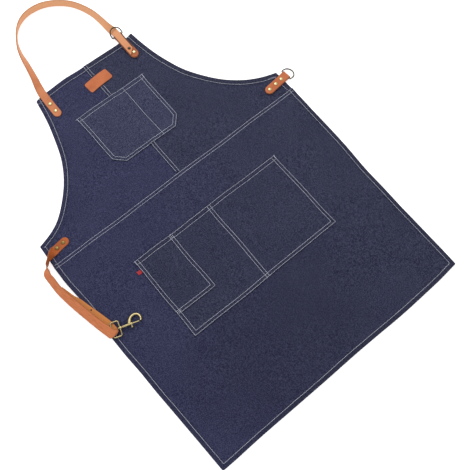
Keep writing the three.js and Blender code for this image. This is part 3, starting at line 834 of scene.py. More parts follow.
def shell(flat, faces, loop, under, thick, fold):
    """Top and bottom skins over flat points, closed by a rounded edge."""
    gap = distance(flat, loop)
    bulge = np.sqrt(1 - (1 - np.clip(gap / fold, 0, 1)) ** 2)
    middle_height = under + thick / 2
    rim = gap < ON_EDGE
    top = np.column_stack([flat, middle_height + thick / 2 * bulge])
    bottom = np.column_stack([flat, middle_height - thick / 2 * bulge])
    below = np.where(rim, np.arange(len(flat)), len(flat) + np.cumsum(~rim) - 1)
    points = np.vstack([top, bottom[~rim]])
    skin = [*faces.tolist(), *below[faces][:, ::-1].tolist()]
    return points, skin, np.concatenate([np.arange(len(flat)), np.flatnonzero(~rim)])


def cloth(name, paint, step, shade):
    """One cut of cloth as a closed sheet with its turned edges, which are shaded."""
    panel = PANELS[name]
    spots, faces = fill(panel.outline, panel.rows, step)
    loop = closed(panel.outline)
    under = panel.under(spots) + lift(spots)
    points, faces, source = shell(spots, faces, loop, under, panel.thickness(spots), CLOTH_FOLD)
    points[:, :2] += drift(spots)[source]
    gap = nearest(spots, panel.rows)
    marks = {"seam": fading(gap, SEAM_MARK)[source], "band": shade * panel.edge_band(spots)[source]}
    piece = make_piece(f"{name}_cloth", points, faces, "apron", paint, marks=marks)
    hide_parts(name)
    return piece


def sew(name, lines, paint, pitch=PITCH):
    """Rows of single stitches along lines."""
    dots = [spaced(np.array(line, float), pitch) for line in lines]
    ends = [np.vstack([row[:-1] for row in dots]), np.vstack([row[1:] for row in dots])]
    start, end = (np.column_stack([spot + drift(spot), surface(spot) + lift(spot)]) for spot in ends)
    count = len(start)
    centre = (start + end) / 2
    centre[:, :2] += rng.normal(0, STITCH_STRAY, (count, 2))
    along = (end - start) * rng.uniform(*STITCH_LENGTHS, (count, 1))
    side = unit(np.column_stack([-along[:, 1], along[:, 0], np.zeros(count)]))
    angles = round_angles(STITCH_SIDES)
    rings = []
    for place, height, share in STITCH_RINGS:
        spine = centre + along * place + UP * height
        wide = THREAD * share
        ring = spine[:, None] + side[:, None] * (wide * np.cos(angles))[:, None]
        rings.append(ring + UP * (wide * np.sin(angles))[:, None])
    points = np.stack(rings, axis=1).reshape(-1, 3)
    size = len(STITCH_RINGS) * STITCH_SIDES
    one = tube_faces(len(STITCH_RINGS), STITCH_SIDES)
    faces = [[k * size + v for v in face] for k in range(count) for face in one]
    return make_piece(name, points, faces, "apron", paint)


def tack(x, y, sideways, lengthways):
    """A close row of stitches that bars the end of a seam."""
    return [(x, y), (x + sideways, y + lengthways)]


def corner_tacks(edge):
    """The tacks at both ends of a pocket's open edge."""
    (left, top), (right, _) = edge[0], edge[-1]
    return [tack(x, top, 0, -TACK_REACH) for x in (left + TACK_IN, right - TACK_IN)]


def tube_faces(rings, sides, loop=False):
    """Faces round a row of rings, with caps at the ends of an open one."""
    faces = []
    for i in range(rings if loop else rings - 1):
        for j in range(sides):
            k = (j + 1) % sides
            n = (i + 1) % rings
            faces.append([i * sides + j, i * sides + k, n * sides + k, n * sides + j])
    if not loop:
        faces.append(list(range(sides))[::-1])
        faces.append([(rings - 1) * sides + j for j in range(sides)])
    return faces


def level(run, height):
    """A row of points at one height."""
    return np.column_stack([run, np.full(len(run), height)])


def strap_section(half, thick):
    """A strip's section with soft edges: across and up."""
    edge = min(STRAP_EDGE, half * STRAP_EDGE_MOST)
    flat = np.linspace(half - edge, edge - half, 9)
    turn = np.radians(np.linspace(90, 270, 7)[1:-1])
    left = np.column_stack([edge - half + edge * np.cos(turn), thick / 2 * np.sin(turn)])
    upper = np.vstack([level(flat, thick / 2), left])
    return np.vstack([upper, -upper])


def ribbon(name, line, sides, ups, halves, pushes, thick, paint):
    """A leather strip lofted through sections, marked with its length, width and which face is which."""
    rings, lay = [], []
    for point, side, up, half, push, length in zip(line, sides, ups, halves, pushes, run_lengths(line)):
        section = strap_section(half, thick)
        rings.append(point + side * (section[:, :1] - push) + up * section[:, 1:])
        run = np.full(len(section), length * MM)
        lay.append(np.column_stack([run, section[:, 0] / half, section[:, 1] * 2 / thick]))
    faces = tube_faces(len(rings), len(rings[0]))
    marks = {"lay": np.vstack(lay)}
    piece = make_piece(
        f"{name}_leather", np.vstack(rings), faces, "apron", paint, LEATHER_CREASE, marks
    )
    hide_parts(name)
    return piece


def tip_width(half, gap):
    """Half the width of a round-ended strip at a distance from its end."""
    short = np.clip(half - gap, 0, half)
    return np.sqrt(half ** 2 - short ** 2)


def strap_row(x, y, z, bearing, rise, half=STRAP_HALF, push=0):
    """A row of a strap's table, with the columns that it may leave out."""
    return x, y, z, bearing, rise, half, push


def strap(name, table, thick, paint, round_end):
    """A strap along a table of rows. Its first end is round."""
    rows = np.array([strap_row(*row) for row in table], float)
    middle_line = rows[:, :3]
    fine = np.linspace(0, 1, len(rows) * STRAP_FINE)
    lengths = run_lengths(spline(middle_line, fine, True))
    total = lengths[-1]
    even = np.interp(np.linspace(0, 1, (len(rows) - 1) * STRAP_STEPS + 1), fine, lengths)
    clear = STRAP_HALF + TIP_GAP
    even = even[(even > clear) & (even < total - clear * round_end)]
    tip = STRAP_HALF * TIP_STEPS
    stops = np.concatenate([tip, even, total - tip[::-1] if round_end else [total]])
    places = np.interp(stops, lengths, fine)
    points = spline(middle_line, places, True)
    along = unit(spline(middle_line, places + TINY, True) - spline(middle_line, places - TINY, True))
    bearing, rise, halves, pushes = spline(rows[:, 3:], places).T
    bearing, rise = np.radians(bearing), np.radians(rise)
    side = np.column_stack([np.cos(rise) * np.cos(bearing), np.cos(rise) * np.sin(bearing), np.sin(rise)])
    side = unit(side - along * (side * along).sum(1)[:, None])
    halves = np.minimum(halves, tip_width(STRAP_HALF, stops))
    if round_end:
        halves = np.minimum(halves, tip_width(STRAP_HALF, total - stops))
    return ribbon(name, points, side, np.cross(along, side), halves, pushes, thick, paint)


def folded_tab(name, paint):
    """A strip folded round the bar of a ring, with both ends round and one on the other."""
    x, y, length, turn = TABS[name]
    reach = BAR_ROOM + TAB_THICK / 2
    low = TAB_Z + TAB_THICK / 2
    high = 2 * BAR_Z - low
    straight = np.linspace(TAB_HALF + TAB_TIP_GAP, length - TAB_NECK, 24)
    run = np.concatenate([TAB_HALF * TIP_STEPS, straight])
    bend = arc(length, BAR_Z, reach, -90, 90, 19)
    neck = np.linspace(length - TAB_NECK + 1, length - 1, 6)
    slope = ease(neck, length - TAB_NECK, length)
    lower = np.column_stack([neck, low + (BAR_Z - reach - low) * slope])
    upper = np.column_stack([neck, high + (BAR_Z + reach - high) * slope])
    path = np.vstack([level(run, low), lower, bend, upper[::-1], level(run, high)[::-1]])
    ahead = unit(np.gradient(path, axis=0))
    way = np.array([*heading(turn + 90), 0])
    side = np.array([-way[1], way[0], 0])
    points = np.array([x, y, 0]) + path[:, :1] * way + path[:, 1:] * UP
    ups = ahead[:, 1:] * way - ahead[:, :1] * UP
    halves = tip_width(TAB_HALF, np.minimum(path[:, 0], TAB_HALF))
    count = len(path)
    return ribbon(name, points, np.tile(side, (count, 1)), ups, halves, np.zeros(count), TAB_THICK, paint)


def cut_neck_strap(piece):
    """Cuts the loose end of the neck strap on the slant."""
    x, y, turn = NECK_STRAP_CUT
    work = bmesh.new()
    work.from_mesh(piece.data)
    way = Vector((*heading(turn - 90), 0))
    spot = Vector((np.array([x, y, 0]) + SEAM) * MM)
    parts = [*work.verts, *work.edges, *work.faces]
    cut = bmesh.ops.bisect_plane(work, geom=parts, plane_co=spot, plane_no=way, clear_outer=True)
    rim = [edge for edge in cut["geom_cut"] if isinstance(edge, bmesh.types.BMEdge)]
    bmesh.ops.edgeloop_fill(work, edges=rim)
    work.to_mesh(piece.data)
    work.free()


def punch(piece, x, y, radius, top):
    """A round hole through what lies below a height. The marks of the nearest points are kept."""
    before = piece.data
    tree = KDTree(len(before.vertices))
    for vertex in before.vertices:
        tree.insert(vertex.co, vertex.index)
    tree.balance()
    points, faces = lathe([(0, -1), (radius, -1), (radius, top), (0, top)], HOLE_SIDES)
    drill = rough((points + (x, y, 0) + SEAM) * MM, faces)
    change(piece, "DIFFERENCE", drill)
    piece.data = bpy.data.meshes.new_from_object(evaluated(piece))
    piece.modifiers.clear()
    old_lay = before.attributes["lay"].data
    new_lay = piece.data.attributes["lay"].data
    for vertex in piece.data.vertices:
        _, nearest_one, _ = tree.find(vertex.co)
        new_lay[vertex.index].vector = old_lay[nearest_one].vector
    bpy.data.meshes.remove(drill.data)


def patch_piece(paint):
    """The bare leather patch, lying over the lap of the centre seam."""
    x, y, _ = middle("leather_patch")
    wide, high = PATCH_SIZE[0] / 2, PATCH_SIZE[1] / 2
    flat = np.array([(-wide, -high), (wide, -high), (wide, high), (-wide, high)])
    outline = sampled(closed(rounded(flat, PATCH_CORNER, steps=9)), PATCH_STEP)[:-1]
    spots, faces = fill(outline, [], 2 * PATCH_STEP)
    turn = math.radians(PATCH_TURN)
    across = spots[:, 0] * math.cos(turn) - spots[:, 1] * math.sin(turn) + x
    along = spots[:, 0] * math.sin(turn) + spots[:, 1] * math.cos(turn) + y
    from_lap = np.abs(across - sum(CENTRE_LAP) / 2)
    under = CLOTH + PATCH_GAP + LIFT * (1 - ease(from_lap, *PATCH_FALL))
    thick = np.full(len(spots), PATCH_THICK)
    points, faces, source = shell(spots, faces, closed(outline), under, thick, PATCH_EDGE)
    points[:, 0], points[:, 1] = across[source], along[source]
    gap = distance(spots, closed(outline))[source]
    face = np.where(np.arange(len(source)) < len(spots), 1, -1)
    lay = np.column_stack([spots[source, 0] * MM, 1 - np.clip(gap / STRAP_HALF, 0, 1), face])
    piece = make_piece("patch_leather", points, faces, "apron", paint, marks={"lay": lay})
    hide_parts("leather_patch")
    return piece


def tape_tab(paint):
    """The small tape that sticks out from under the wide pocket, folded at its loose end."""
    (left, bottom, low), (right, top, high) = corners("pocket_tab")
    turn = (high - low - TAPE_THICK) / 2
    fold = left + turn + TAPE_THICK / 2
    run = np.linspace(right, fold, 14)
    bend = arc(fold, 0, turn, -90, -270, 11)[1:-1]
    path = np.vstack([level(run, -turn), bend, level(run[::-1], turn)])
    ahead = unit(np.gradient(path, axis=0))
    section = strap_section((top - bottom) / 2, TAPE_THICK)
    spots = level(path[:, 0], (top + bottom) / 2)
    height = path[:, 1] + (low + high) / 2 + lift(spots) + TAPE_LIFT * ease(right - path[:, 0], *TAPE_RISE)
    rings = []
    for spot, z, (run_x, run_z) in zip(spots + drift(spots), height, ahead):
        across, up = section[:, :1] * (0, 1, 0), section[:, 1:] * (run_z, 0, -run_x)
        rings.append(np.array([*spot, z]) + across + up)
    faces = tube_faces(len(rings), len(section))
    piece = make_piece("pocket_tab_tape", np.vstack(rings), faces, "apron", paint, TAPE_CREASE)
    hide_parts("pocket_tab")


def lathe(profile, sides=METAL_SIDES):
    """Points and faces turned from radius and height about +Z. The profile starts and ends on the axis."""
    angles = round_angles(sides)
    inner = profile[1:-1]
    rings = [np.column_stack([r * np.cos(angles), r * np.sin(angles), np.full(sides, z)]) for r, z in inner]
    faces = tube_faces(len(inner), sides)
    return np.vstack(rings), faces


def turned_ring(profile, sides=METAL_SIDES):
    """A collar turned from a closed profile of radius and height about +Z."""
    angles = round_angles(sides)
    rows = [np.array([(r * math.cos(a), r * math.sin(a), z) for r, z in profile]) for a in angles]
    return np.vstack(rows), tube_faces(sides, len(profile), loop=True)


def wire(path, radii, sides=WIRE_SIDES, loop=False):
    """A round wire along a flat path in x and y."""
    path = np.asarray(path, float)
    along = unit(np.roll(path, -1, 0) - np.roll(path, 1, 0) if loop else np.gradient(path, axis=0))
    angles = round_angles(sides)
    rings = []
    for (x, y), (dx, dy), r in zip(path, along, np.broadcast_to(radii, len(path))):
        reach = r * np.cos(angles)
        rings.append(np.column_stack([x - dy * reach, y + dx * reach, r * np.sin(angles)]))
    return np.vstack(rings), tube_faces(len(path), sides, loop)


def arc(x, y, radius, start, end, steps):
    angles = np.radians(np.linspace(start, end, steps))
    return np.column_stack([x + radius * np.cos(angles), y + radius * np.sin(angles)])


def moved(points, place):
    """The points after a turn and a shift."""
    place = np.array(place)
    return np.asarray(points) @ place[:3, :3].T + place[:3, 3]


def metal_piece(name, points, faces, body, paint, crease=None):
    """A metal piece, marked with how far each point faces up, for painted light where it faces up and
    painted shade where it doesn't.
    """
    piece = make_piece(f"{name}_metal", points, faces, body, paint, crease)
    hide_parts(name)
    layer = piece.data.attributes.new("painted_top_light", "FLOAT", "POINT")
    layer.data.foreach_set("value", [normal.vector.z for normal in piece.data.vertex_normals])


def ring_piece(name, paint):
    """A D-ring with its bar in the fold of a tab."""
    x, y, turn, rise = RINGS[name]
    side = RING_HALF - RING_CORNER
    path = np.vstack(
        [
            level(np.linspace(-side, side, 24)[1:-1], 0),
            arc(side, RING_CORNER, RING_CORNER, -90, 0, 8),
            arc(0, RING_LEG, RING_HALF, 0, 180, 60),
            arc(-side, RING_CORNER, RING_CORNER, 180, 270, 8),
        ]
    )
    points, faces = wire(path, RING_WIRE, loop=True)
    place = Matrix.Translation((x, y, BAR_Z)) @ rotation(turn, "Z") @ rotation(rise, "X")
    metal_piece(name, moved(points, place), faces, name, paint)


def rivet_piece(name, paint, head, dome):
    """A rivet with a domed cap on a thin brim."""
    low, high = corners(name)
    x, y = (low[:2] + high[:2]) / 2
    under = high[2] - dome
    brim = [(head * wide, under + dome * rise) for wide, rise in RIVET_BRIM]
    swell = np.radians(np.linspace(*CAP_SWEEP, 10))
    rises = CAP_LOW + (1 - CAP_LOW) * np.sin(swell)
    cap = [(head * CAP_WIDE * math.cos(a), under + dome * rise) for a, rise in zip(swell, rises)]
    profile = [
        (0, 0),
        (BACK_RADIUS, 0),
        (BACK_RADIUS, BACK_THICK),
        (SHANK_RADIUS, BACK_THICK),
        (SHANK_RADIUS, under),
        *brim,
        *cap,
        (0, under + dome),
    ]
    points, faces = lathe(profile)
    metal_piece(name, points + np.array([x, y, 0]), faces, "apron", paint, RIVET_CREASE)


def hook_place(swivelled):
    """Where the snap lies. All but its eye are turned about the shank."""
    place = Matrix.Translation(HOOK) @ rotation(HOOK_TURN, "Z")
    return place @ rotation(HOOK_LIE, "X") if swivelled else place


def rough(points, faces):
    """A mesh object that is only joined into or cut from another."""
    mesh = bpy.data.meshes.new("rough")
    mesh.from_pydata(np.asarray(points).tolist(), [], faces)
    return placed("rough", mesh)


def change(piece, operation, other):
    """Has another object joined to a piece or cut from it."""
    step = piece.modifiers.new("change", "BOOLEAN")
    step.operation = operation
    step.object = other
    step.solver = "EXACT"


def evaluated(piece):
    return piece.evaluated_get(bpy.context.evaluated_depsgraph_get())


def worked(base, steps):
    """Points and faces of a solid after others have been joined to it or cut from it."""
    thing = rough(*base)
    others = [rough(*shape) for _, shape in steps]
    for (operation, _), other in zip(steps, others):
        change(thing, operation, other)
    mesh = evaluated(thing).to_mesh()
    points = np.array([v.co for v in mesh.vertices])
    faces = [list(face.vertices) for face in mesh.polygons]
    for spare in [thing, *others]:
        bpy.data.meshes.remove(spare.data)
    return points, faces


def along_shank(profile):
    """A profile turned about the shank, which runs along +X."""
    points, faces = lathe(profile)
    return moved(points, ALONG_SHANK), faces


def block(low, high):
    points = [(x, y, z) for x in (low[0], high[0]) for y in (low[1], high[1]) for z in (low[2], high[2])]
    faces = [[0, 1, 3, 2], [4, 6, 7, 5], [0, 4, 5, 1], [2, 3, 7, 6], [0, 2, 6, 4], [1, 5, 7, 3]]
    return np.array(points), faces


def hook_pieces(paint):
    """The snap: an eye held in the strap, a hook that turns in it and a spring bolt."""
    left, right, side = -EYE_BACK + EYE_CORNER, -EYE_CORNER, EYE_HALF - EYE_CORNER
    bends = [(right, side, 0), (left, side, 90), (left, -side, 180), (right, -side, 270)]
    path = np.vstack([arc(x, y, EYE_CORNER, start, start + 90, 9) for x, y, start in bends])
    ring = wire(sampled(closed(path), EYE_STEP)[:-1], EYE_WIRE, loop=True)
    collar, collar_faces = turned_ring(COLLAR)
    collar = moved(collar, ALONG_SHANK)
    eye = worked(ring, [("UNION", (collar, collar_faces)), ("DIFFERENCE", along_shank(PIN_ROOM))])
    loop = spline(HOOK_LOOP, np.linspace(0, 1, 70))
    slot = block((SLOT_FROM, -SLOT_DEPTH, -SLOT_HALF), (SLOT_TO, 0, SLOT_HALF))
    body = worked(
        along_shank(SHANK),
        [("UNION", wire(loop[:, :2], loop[:, 2])), ("DIFFERENCE", along_shank(BORE)), ("DIFFERENCE", slot)],
    )
    stem, stem_faces = lathe(BOLT_STEM, WIRE_SIDES)
    out = Matrix.Translation((BOLT_STEM_AT, 0, 0)) @ rotation(90, "X")
    bolt = worked(along_shank(BOLT), [("UNION", (moved(stem, out), stem_faces))])
    shapes = [("hook_eye", "apron", eye), ("hook_body", "hook", body), ("hook_bolt", "bolt", bolt)]
    for name, carrier, (points, faces) in shapes:
        place = hook_place(swivelled=name != "hook_eye")
        metal_piece(name, moved(points, place), faces, carrier, paint, HOOK_CREASE)


# finishes


def tint(red, green, blue):
    """A screen colour of 0 to 255 as the shader's linear one."""
    shares = [value / 255 for value in (red, green, blue)]
    return (*(s / 12.92 if s <= 0.04045 else ((s + 0.055) / 1.055) ** 2.4 for s in shares), 1.0)


# metres from one line of a weave or twist to the next
TWILL = 0.0011
WARP = 0.00052
TWIST = 0.0009
TAPE_RIB = 0.0009
TWILL_WAY = (0.86, 0.5)

# tints: a yarn's are the dyed one and the pale one
# the dark tint of the painted shade beside sewn rows, which the darker turned edges and the darker oval also
# mix towards
SEAM_SHADE = tint(20, 21, 30)
BLUE_YARN = (tint(14, 15, 50), tint(70, 73, 101))
GREY_YARN = (tint(13, 14, 43), tint(68, 71, 93))
PALE_YARN = (tint(16, 18, 49), tint(79, 83, 106))
# the dark of the leather's cut edges, which also stands in as painted contact shade
LEATHER_EDGE_AND_SHADE = tint(128, 80, 54)
FLESH = (tint(172, 98, 60), tint(198, 122, 80))
SKIRT_DIM = ((-0.075, -0.42), (0.28, 0.2), 0.28)  # an oval's middle and half sizes, and how much
# painted light and shade along a strip: the tint its leather turns to, and where along it that starts, is
# full, fades and ends
# painted shadow that the neck strap casts on the neck tab
TAB_PAINTED_SHADOW = (tint(70, 40, 26), 0.06, 0.075, 0.124, 0.136)
# painted light on the neck strap where it stands on edge over the top
NECK_PAINTED_LIGHT = (tint(206, 148, 106), 0.09, 0.27, 0.48, 0.64)
# painted light on the waist strap's returned end, which lies in the shade of the layer over it
WAIST_PAINTED_LIGHT = (tint(190, 120, 60), 0.28, 0.31, 0.6, 0.7)
PAINTED_LIGHT_FADE = 0.7  # how much of that change is lost past the end


class Signal:
    """An output socket, so that shader maths is written as plain expressions."""

    def __init__(self, paint, socket):
        self.paint = paint
        self.socket = socket

    def math(self, operation, *values):
        return self.paint.node("ShaderNodeMath", {"operation": operation}, dict(enumerate(values)))

    def __add__(self, other):
        return self.math("ADD", self, other)

    def __radd__(self, other):
        return self.math("ADD", other, self)

    def __sub__(self, other):
        return self.math("SUBTRACT", self, other)

    def __rsub__(self, other):
        return self.math("SUBTRACT", other, self)

    def __mul__(self, other):
        return self.math("MULTIPLY", self, other)

    def __rmul__(self, other):
        return self.math("MULTIPLY", other, self)

    def __pow__(self, other):
        return self.math("POWER", self, other)

    def ripple(self, length):
        """A wave from -1 to 1 that comes again at each length."""
        return self.math("SINE", self * (2 * math.pi / length))

    def size(self):
        return self.math("ABSOLUTE", self)

    def between(self, start, end):
        """0 before start, 1 after end and smooth between them."""
        sockets = {"Value": self, "From Min": start, "From Max": end}
        return self.paint.node("ShaderNodeMapRange", {"interpolation_type": "SMOOTHSTEP"}, sockets)


class Paint:
    """A material whose finish is worked out by nodes."""

    def __init__(self, name, **constants):
        self.material = bpy.data.materials.new(name)
        self.material.use_nodes = True
        self.tree = self.material.node_tree
        self.shader = self.tree.nodes["Principled BSDF"]
        for socket, value in constants.items():
            self.set(socket.replace("_", " ").title().replace("Ior", "IOR"), value)

    def set(self, socket, value):
        self.feed(self.shader.inputs[socket], value)

    def feed(self, socket, value):
        if isinstance(value, Signal):
            self.tree.links.new(value.socket, socket)
        else:
            socket.default_value = value

    def node(self, kind, settings=None, sockets=None, out=0):
        """Any node: its settings are set first, then its sockets get their values or links."""
        node = self.tree.nodes.new(kind)
        for setting, value in (settings or {}).items():
            setattr(node, setting, value)
        for socket, value in (sockets or {}).items():
            self.feed(node.inputs[socket], value)
        return Signal(self, node.outputs[out])

    def place(self):
        """Where a point is, in metres."""
        return self.node("ShaderNodeTexCoord", out="Object")

    def parts(self, vector):
        """The three values of a vector."""
        made = self.node("ShaderNodeSeparateXYZ", sockets={"Vector": vector})
        return [Signal(self, output) for output in made.socket.node.outputs]

    def joined(self, x, y, z=0.0):
        return self.node("ShaderNodeCombineXYZ", sockets={"X": x, "Y": y, "Z": z})

    def mark(self, name):
        """A value that the mesh holds at its points."""
        return self.node("ShaderNodeAttribute", {"attribute_name": name}, out="Fac")

    def lay(self):
        """Where a point is on its strip: along it, across it, and front or back."""
        return self.node("ShaderNodeAttribute", {"attribute_name": "lay"}, out="Vector")

    def noise(self, vector, scale, detail=2.0, roughness=0.5):
        sockets = {"Vector": vector, "Scale": scale, "Detail": detail, "Roughness": roughness}
        return self.node("ShaderNodeTexNoise", sockets=sockets)

    def cells(self, vector, scale):
        settings = {"feature": "DISTANCE_TO_EDGE"}
        return self.node("ShaderNodeTexVoronoi", settings, {"Vector": vector, "Scale": scale})

    def mix(self, share, first, second):
        """A colour between two others. The node's sockets for colours are known by their numbers."""
        return self.node("ShaderNodeMix", {"data_type": "RGBA"}, {0: share, 6: first, 7: second}, out=2)

    def bump(self, height, strength, depth):
        sockets = {"Height": height, "Strength": strength, "Distance": depth}
        self.set("Normal", self.node("ShaderNodeBump", sockets=sockets))


def denim(name, left, right, dimmed=None):
    """Twill woven from dyed warp over pale weft, from the left tints to the right ones across the apron.

    A dimmed cloth is darker in an oval.
    """
    paint = Paint(name, roughness=0.9, specular_ior_level=0.2, sheen_weight=0.08, sheen_roughness=0.5)
    place = paint.place()
    x, y, _ = paint.parts(place)
    twill = (x * TWILL_WAY[0] + y * TWILL_WAY[1]).ripple(TWILL)
    warp = x.ripple(WARP)
    fleck = paint.noise(place, scale=520, detail=3.0, roughness=0.62)
    mottle = paint.noise(place, scale=170)
    slub = paint.noise(paint.joined(x * 900, y * 55), scale=1.0)
    cloud = paint.noise(place, scale=11)
    side = x.between(-0.25, 0.25)
    pale_share = fleck.between(0.34, 0.7) * 0.8 + mottle * 0.3 + slub * 0.4
    pale_share = pale_share + twill * 0.08 + cloud * 0.2 - 0.435
    deep = paint.mix(side, left[0], right[0])
    pale = paint.mix(side, left[1], right[1])
    colour = paint.mix(pale_share, deep, pale)
    # painted shade beside the sewn rows, with the darker turned edges and, on a dimmed cloth, the darker
    # oval
    shaded = paint.mark("band") * 0.22 + paint.mark("seam") * 0.2
    if dimmed:
        (middle_x, middle_y), (half_wide, half_high), most = dimmed
        away = ((x - middle_x) * (1 / half_wide)) ** 2 + ((y - middle_y) * (1 / half_high)) ** 2
        shaded = shaded + (1 - away.between(0, 1)) * most
    paint.set("Base Color", paint.mix(shaded, colour, SEAM_SHADE))
    weave = twill * 0.5 + warp * 0.2 + fleck * 1.2 + slub * 0.5
    paint.bump(weave, strength=0.35, depth=0.0004)
    return paint.material


def thread():
    """Pale cotton thread with its twist."""
    paint = Paint("pale_thread", roughness=0.75, specular_ior_level=0.3)
    place = paint.place()
    x, y, z = paint.parts(place)
    twist = (x + y + z).ripple(TWIST)
    shade = paint.noise(place, scale=60)
    paint.set("Base Color", paint.mix(shade, tint(178, 182, 202), tint(220, 223, 236)))
    paint.bump(twist, strength=0.3, depth=0.0002)
    return paint.material


def leather(name, grain, deep, flesh, painted_light=None):
    """Tan leather: a smooth face with fine pores, a fibrous back in two tints and dark cut edges, darkened
    further as painted contact shade.

    A strip given painted light and shade turns to another tint between two places along its length, and most
    of the way back between two more.
    """
    paint = Paint(name, specular_ior_level=0.25)
    place = paint.place()
    length, across, face = paint.parts(paint.lay())
    pores = paint.cells(place, 900)
    soft = paint.noise(place, scale=45, detail=3.0)
    streak = paint.noise(paint.joined(length * 60, across * 7), scale=1.0, detail=3.0, roughness=0.6)
    back = (0.0 - face).between(-0.2, 0.6)
    front_colour = paint.mix(soft.between(0.3, 0.72), deep, grain)
    if painted_light:
        # the painted light and shade along the strip
        changed, start, full, fade, end = painted_light
        share = length.between(start, full) - length.between(fade, end) * PAINTED_LIGHT_FADE
        front_colour = paint.mix(share, front_colour, changed)
    back_colour = paint.mix(streak.between(0.3, 0.7), *flesh)
    colour = paint.mix(back, front_colour, back_colour)
    # dark cut edges with painted contact shade along them
    rim = across.size().between(0.84, 0.98)
    paint.set("Base Color", paint.mix(rim * 0.5, colour, LEATHER_EDGE_AND_SHADE))
    paint.set("Roughness", 0.5 + back * 0.3 + soft * 0.12)
    paint.bump(pores.between(0.0, 0.12) * 0.5 + streak * back + soft * 0.5, strength=0.3, depth=0.0003)
    return paint.material


def metal(name, bright, dull, painted_side_shade, base_rough):
    """Brass with faint scratches, in two tints, with painted light where it faces up and painted shade where
    it doesn't.
    """
    paint = Paint(name, metallic=1.0)
    place = paint.place()
    painted_top_light = paint.mark("painted_top_light")
    cloud = paint.noise(place, scale=220, detail=3.0, roughness=0.6)
    scratch = paint.noise(place, scale=2600)
    colour = paint.mix(cloud.between(0.35, 0.7) * 0.7, bright, dull)
    # painted highlight on faces that point up, painted shade on the sides
    paint.set("Base Color", paint.mix(painted_top_light.between(0.2, 0.85), painted_side_shade, colour))
    paint.set("Roughness", base_rough + scratch * 0.14 + cloud * 0.08)
    paint.bump(scratch, strength=0.06, depth=0.0001)
    return paint.material


def tape():
    """Red woven tape."""
    paint = Paint("red_tape", roughness=0.85, sheen_weight=0.1)
    place = paint.place()
    _, y, _ = paint.parts(place)
    rib = y.ripple(TAPE_RIB)
    shade = paint.noise(place, scale=700)
    paint.set("Base Color", paint.mix(shade, tint(128, 16, 26), tint(186, 44, 52)))
    paint.bump(rib + shade, strength=0.4, depth=0.0003)
    return paint.material


blue_denim = denim("blue_denim", BLUE_YARN, BLUE_YARN)
skirt_denim = denim("skirt_denim", BLUE_YARN, GREY_YARN, SKIRT_DIM)
grey_denim = denim("grey_denim", GREY_YARN, GREY_YARN)
chest_denim = denim("chest_denim", PALE_YARN, PALE_YARN)
pale_thread = thread()
tan_leather = leather("tan_leather", tint(180, 100, 58), tint(166, 87, 46), FLESH)
# the neck tab has the neck strap's shadow painted on it
tab_leather = leather("tab_leather", tint(180, 100, 58), tint(166, 87, 46), FLESH, TAB_PAINTED_SHADOW)
# the neck strap has painted light over its raised arc
neck_leather = leather("neck_leather", tint(187, 116, 75), tint(175, 104, 64), FLESH, NECK_PAINTED_LIGHT)
# the waist strap has painted light on its returned end
waist_leather = leather("waist_leather", tint(172, 88, 38), tint(148, 74, 30), FLESH, WAIST_PAINTED_LIGHT)
# the third tint of each brass is its painted shade on faces that don't point up
bright_brass = metal("bright_brass", tint(216, 196, 148), tint(168, 146, 98), tint(112, 88, 52), 0.2)
hook_brass = metal("hook_brass", tint(188, 172, 126), tint(132, 118, 80), tint(78, 66, 42), 0.24)
# a darker copy of the brass, as painted shade on the waist strap's rivets
shaded_brass = metal("shaded_brass", tint(150, 126, 74), tint(92, 76, 44), tint(58, 44, 26), 0.34)
dark_brass = metal("dark_brass", tint(84, 77, 62), tint(44, 40, 31), tint(30, 27, 21), 0.3)
red_tape = tape()


# the apron


sheets = {
    # slot, finish, grid step, how much the turned edges are shaded, what it lies on
    "bib_left": ("denim_blue", blue_denim, 5.0, 1.0, ["floor"]),
    "bib_right": ("denim_grey", grey_denim, 5.0, 1.0, ["bib_left_cloth"]),
    "skirt_panel": ("denim_blue", skirt_denim, 5.0, 1.0, ["floor"]),
    "chest_pocket": ("denim_grey", chest_denim, 4.0, 0.2, ["bib_left_cloth", "bib_right_cloth"]),
    "lower_pocket": ("denim_grey", grey_denim, 4.5, 0.2, ["skirt_panel_cloth"]),
    "tool_pocket": ("denim_grey", grey_denim, 4.0, 0.2, ["lower_pocket_cloth"]),
}
sewn = {name: panel.rows for name, panel in PANELS.items()} | {"tool_pocket": tool_rows}
lower_left = lower_edge[0][0]
tool_right, tool_bottom = tool_edge[2]
between_rows = sum(EDGE_ROWS) / 2
tacks = {
    "bib_right": [tack(*ARM_TACK)],
    "chest_pocket": corner_tacks(chest_edge),
    "lower_pocket": corner_tacks(lower_edge),
    "tool_pocket": [
        tack(tool_right - between_rows, lower_top, 0, -TACK_REACH),
        tack(lower_left + 2 * TACK_IN, tool_bottom + between_rows, TACK_REACH, 0),
    ],
}
for name, (slot, paint, step, shade, rests_on) in sheets.items():
    piece = cloth(name, paint, step, shade)
    extras = [sew(f"{name}_stitches", sewn[name], pale_thread)]
    if name in tacks:
        extras.append(sew(f"{name}_tacks", tacks[name], pale_thread, TACK_PITCH))
    flat, area = PANELS[name].cut()

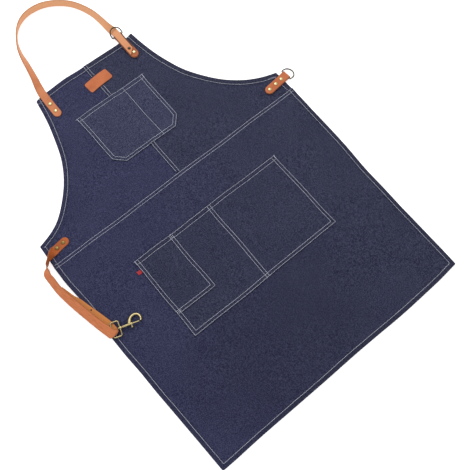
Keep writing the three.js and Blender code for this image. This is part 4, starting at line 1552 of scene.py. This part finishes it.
patch_piece(tan_leather)
neck_strap = strap("neck_strap", NECK_STRAP, NECK_STRAP_THICK, neck_leather, round_end=False)
cut_neck_strap(neck_strap)
waist_strap = strap("waist_strap", WAIST_STRAP, WAIST_STRAP_THICK, waist_leather, round_end=True)
punch(waist_strap, *STRAP_HOLE)
folded_tab("neck_tab", tab_leather)
folded_tab("waist_tab", tan_leather)
for name in RINGS:
    ring_piece(name, dark_brass)
for name in RIVETS:
    finish = shaded_brass if name.startswith("waist_strap") else bright_brass
    rivet_piece(name, finish, RIVET_HEAD, RIVET_DOME)
rivet_piece("neck_strap_stud", dark_brass, STUD_HEAD, STUD_DOME)
hook_pieces(hook_brass)
tape_tab(red_tape)


# floor, light and camera


def floor():
    mesh = bpy.data.meshes.new("floor")
    far = FLOOR_HALF * MM
    mesh.from_pydata([(-far, -far, 0), (far, -far, 0), (far, far, 0), (-far, far, 0)], [], [(0, 1, 2, 3)])
    paint = Paint("pale_floor", roughness=0.9, base_color=FLOOR_PAINT, specular_ior_level=0.1)
    paint.set("Emission Color", FLOOR_PAINT)
    paint.set("Emission Strength", FLOOR_GLOW)
    mesh.materials.append(paint.material)
    thing = placed("floor", mesh)


def aimed(name, data, eye, aim):
    """A camera or a light at one place that faces another."""
    thing = placed(name, data)
    thing.location = (np.array(eye) + SEAM) * MM
    way = Vector(np.array(aim, float) - np.array(eye, float))
    thing.rotation_euler = way.to_track_quat("-Z", "Y").to_euler()
    return thing


def camera():
    lens = bpy.data.cameras.new("camera")
    lens.lens = CAMERA_LENS
    lens.sensor_width = CAMERA_SENSOR
    bpy.context.scene.camera = aimed("camera", lens, CAMERA_EYE, CAMERA_AIM)


def studio():
    world = bpy.data.worlds.new("studio")
    world.use_nodes = True
    sky = world.node_tree.nodes["Background"].inputs
    sky["Color"].default_value = (1, 1, 1, 1)
    sky["Strength"].default_value = SKY
    bpy.context.scene.world = world
    bpy.context.scene.view_settings.view_transform = "Standard"
    key = bpy.data.lights.new("key", "AREA")
    key.shape = "DISK"
    key.size = KEY_SIZE * MM
    key.energy = KEY_POWER
    aimed("key", key, KEY_PLACE, KEY_AIM)


floor()
studio()
camera()
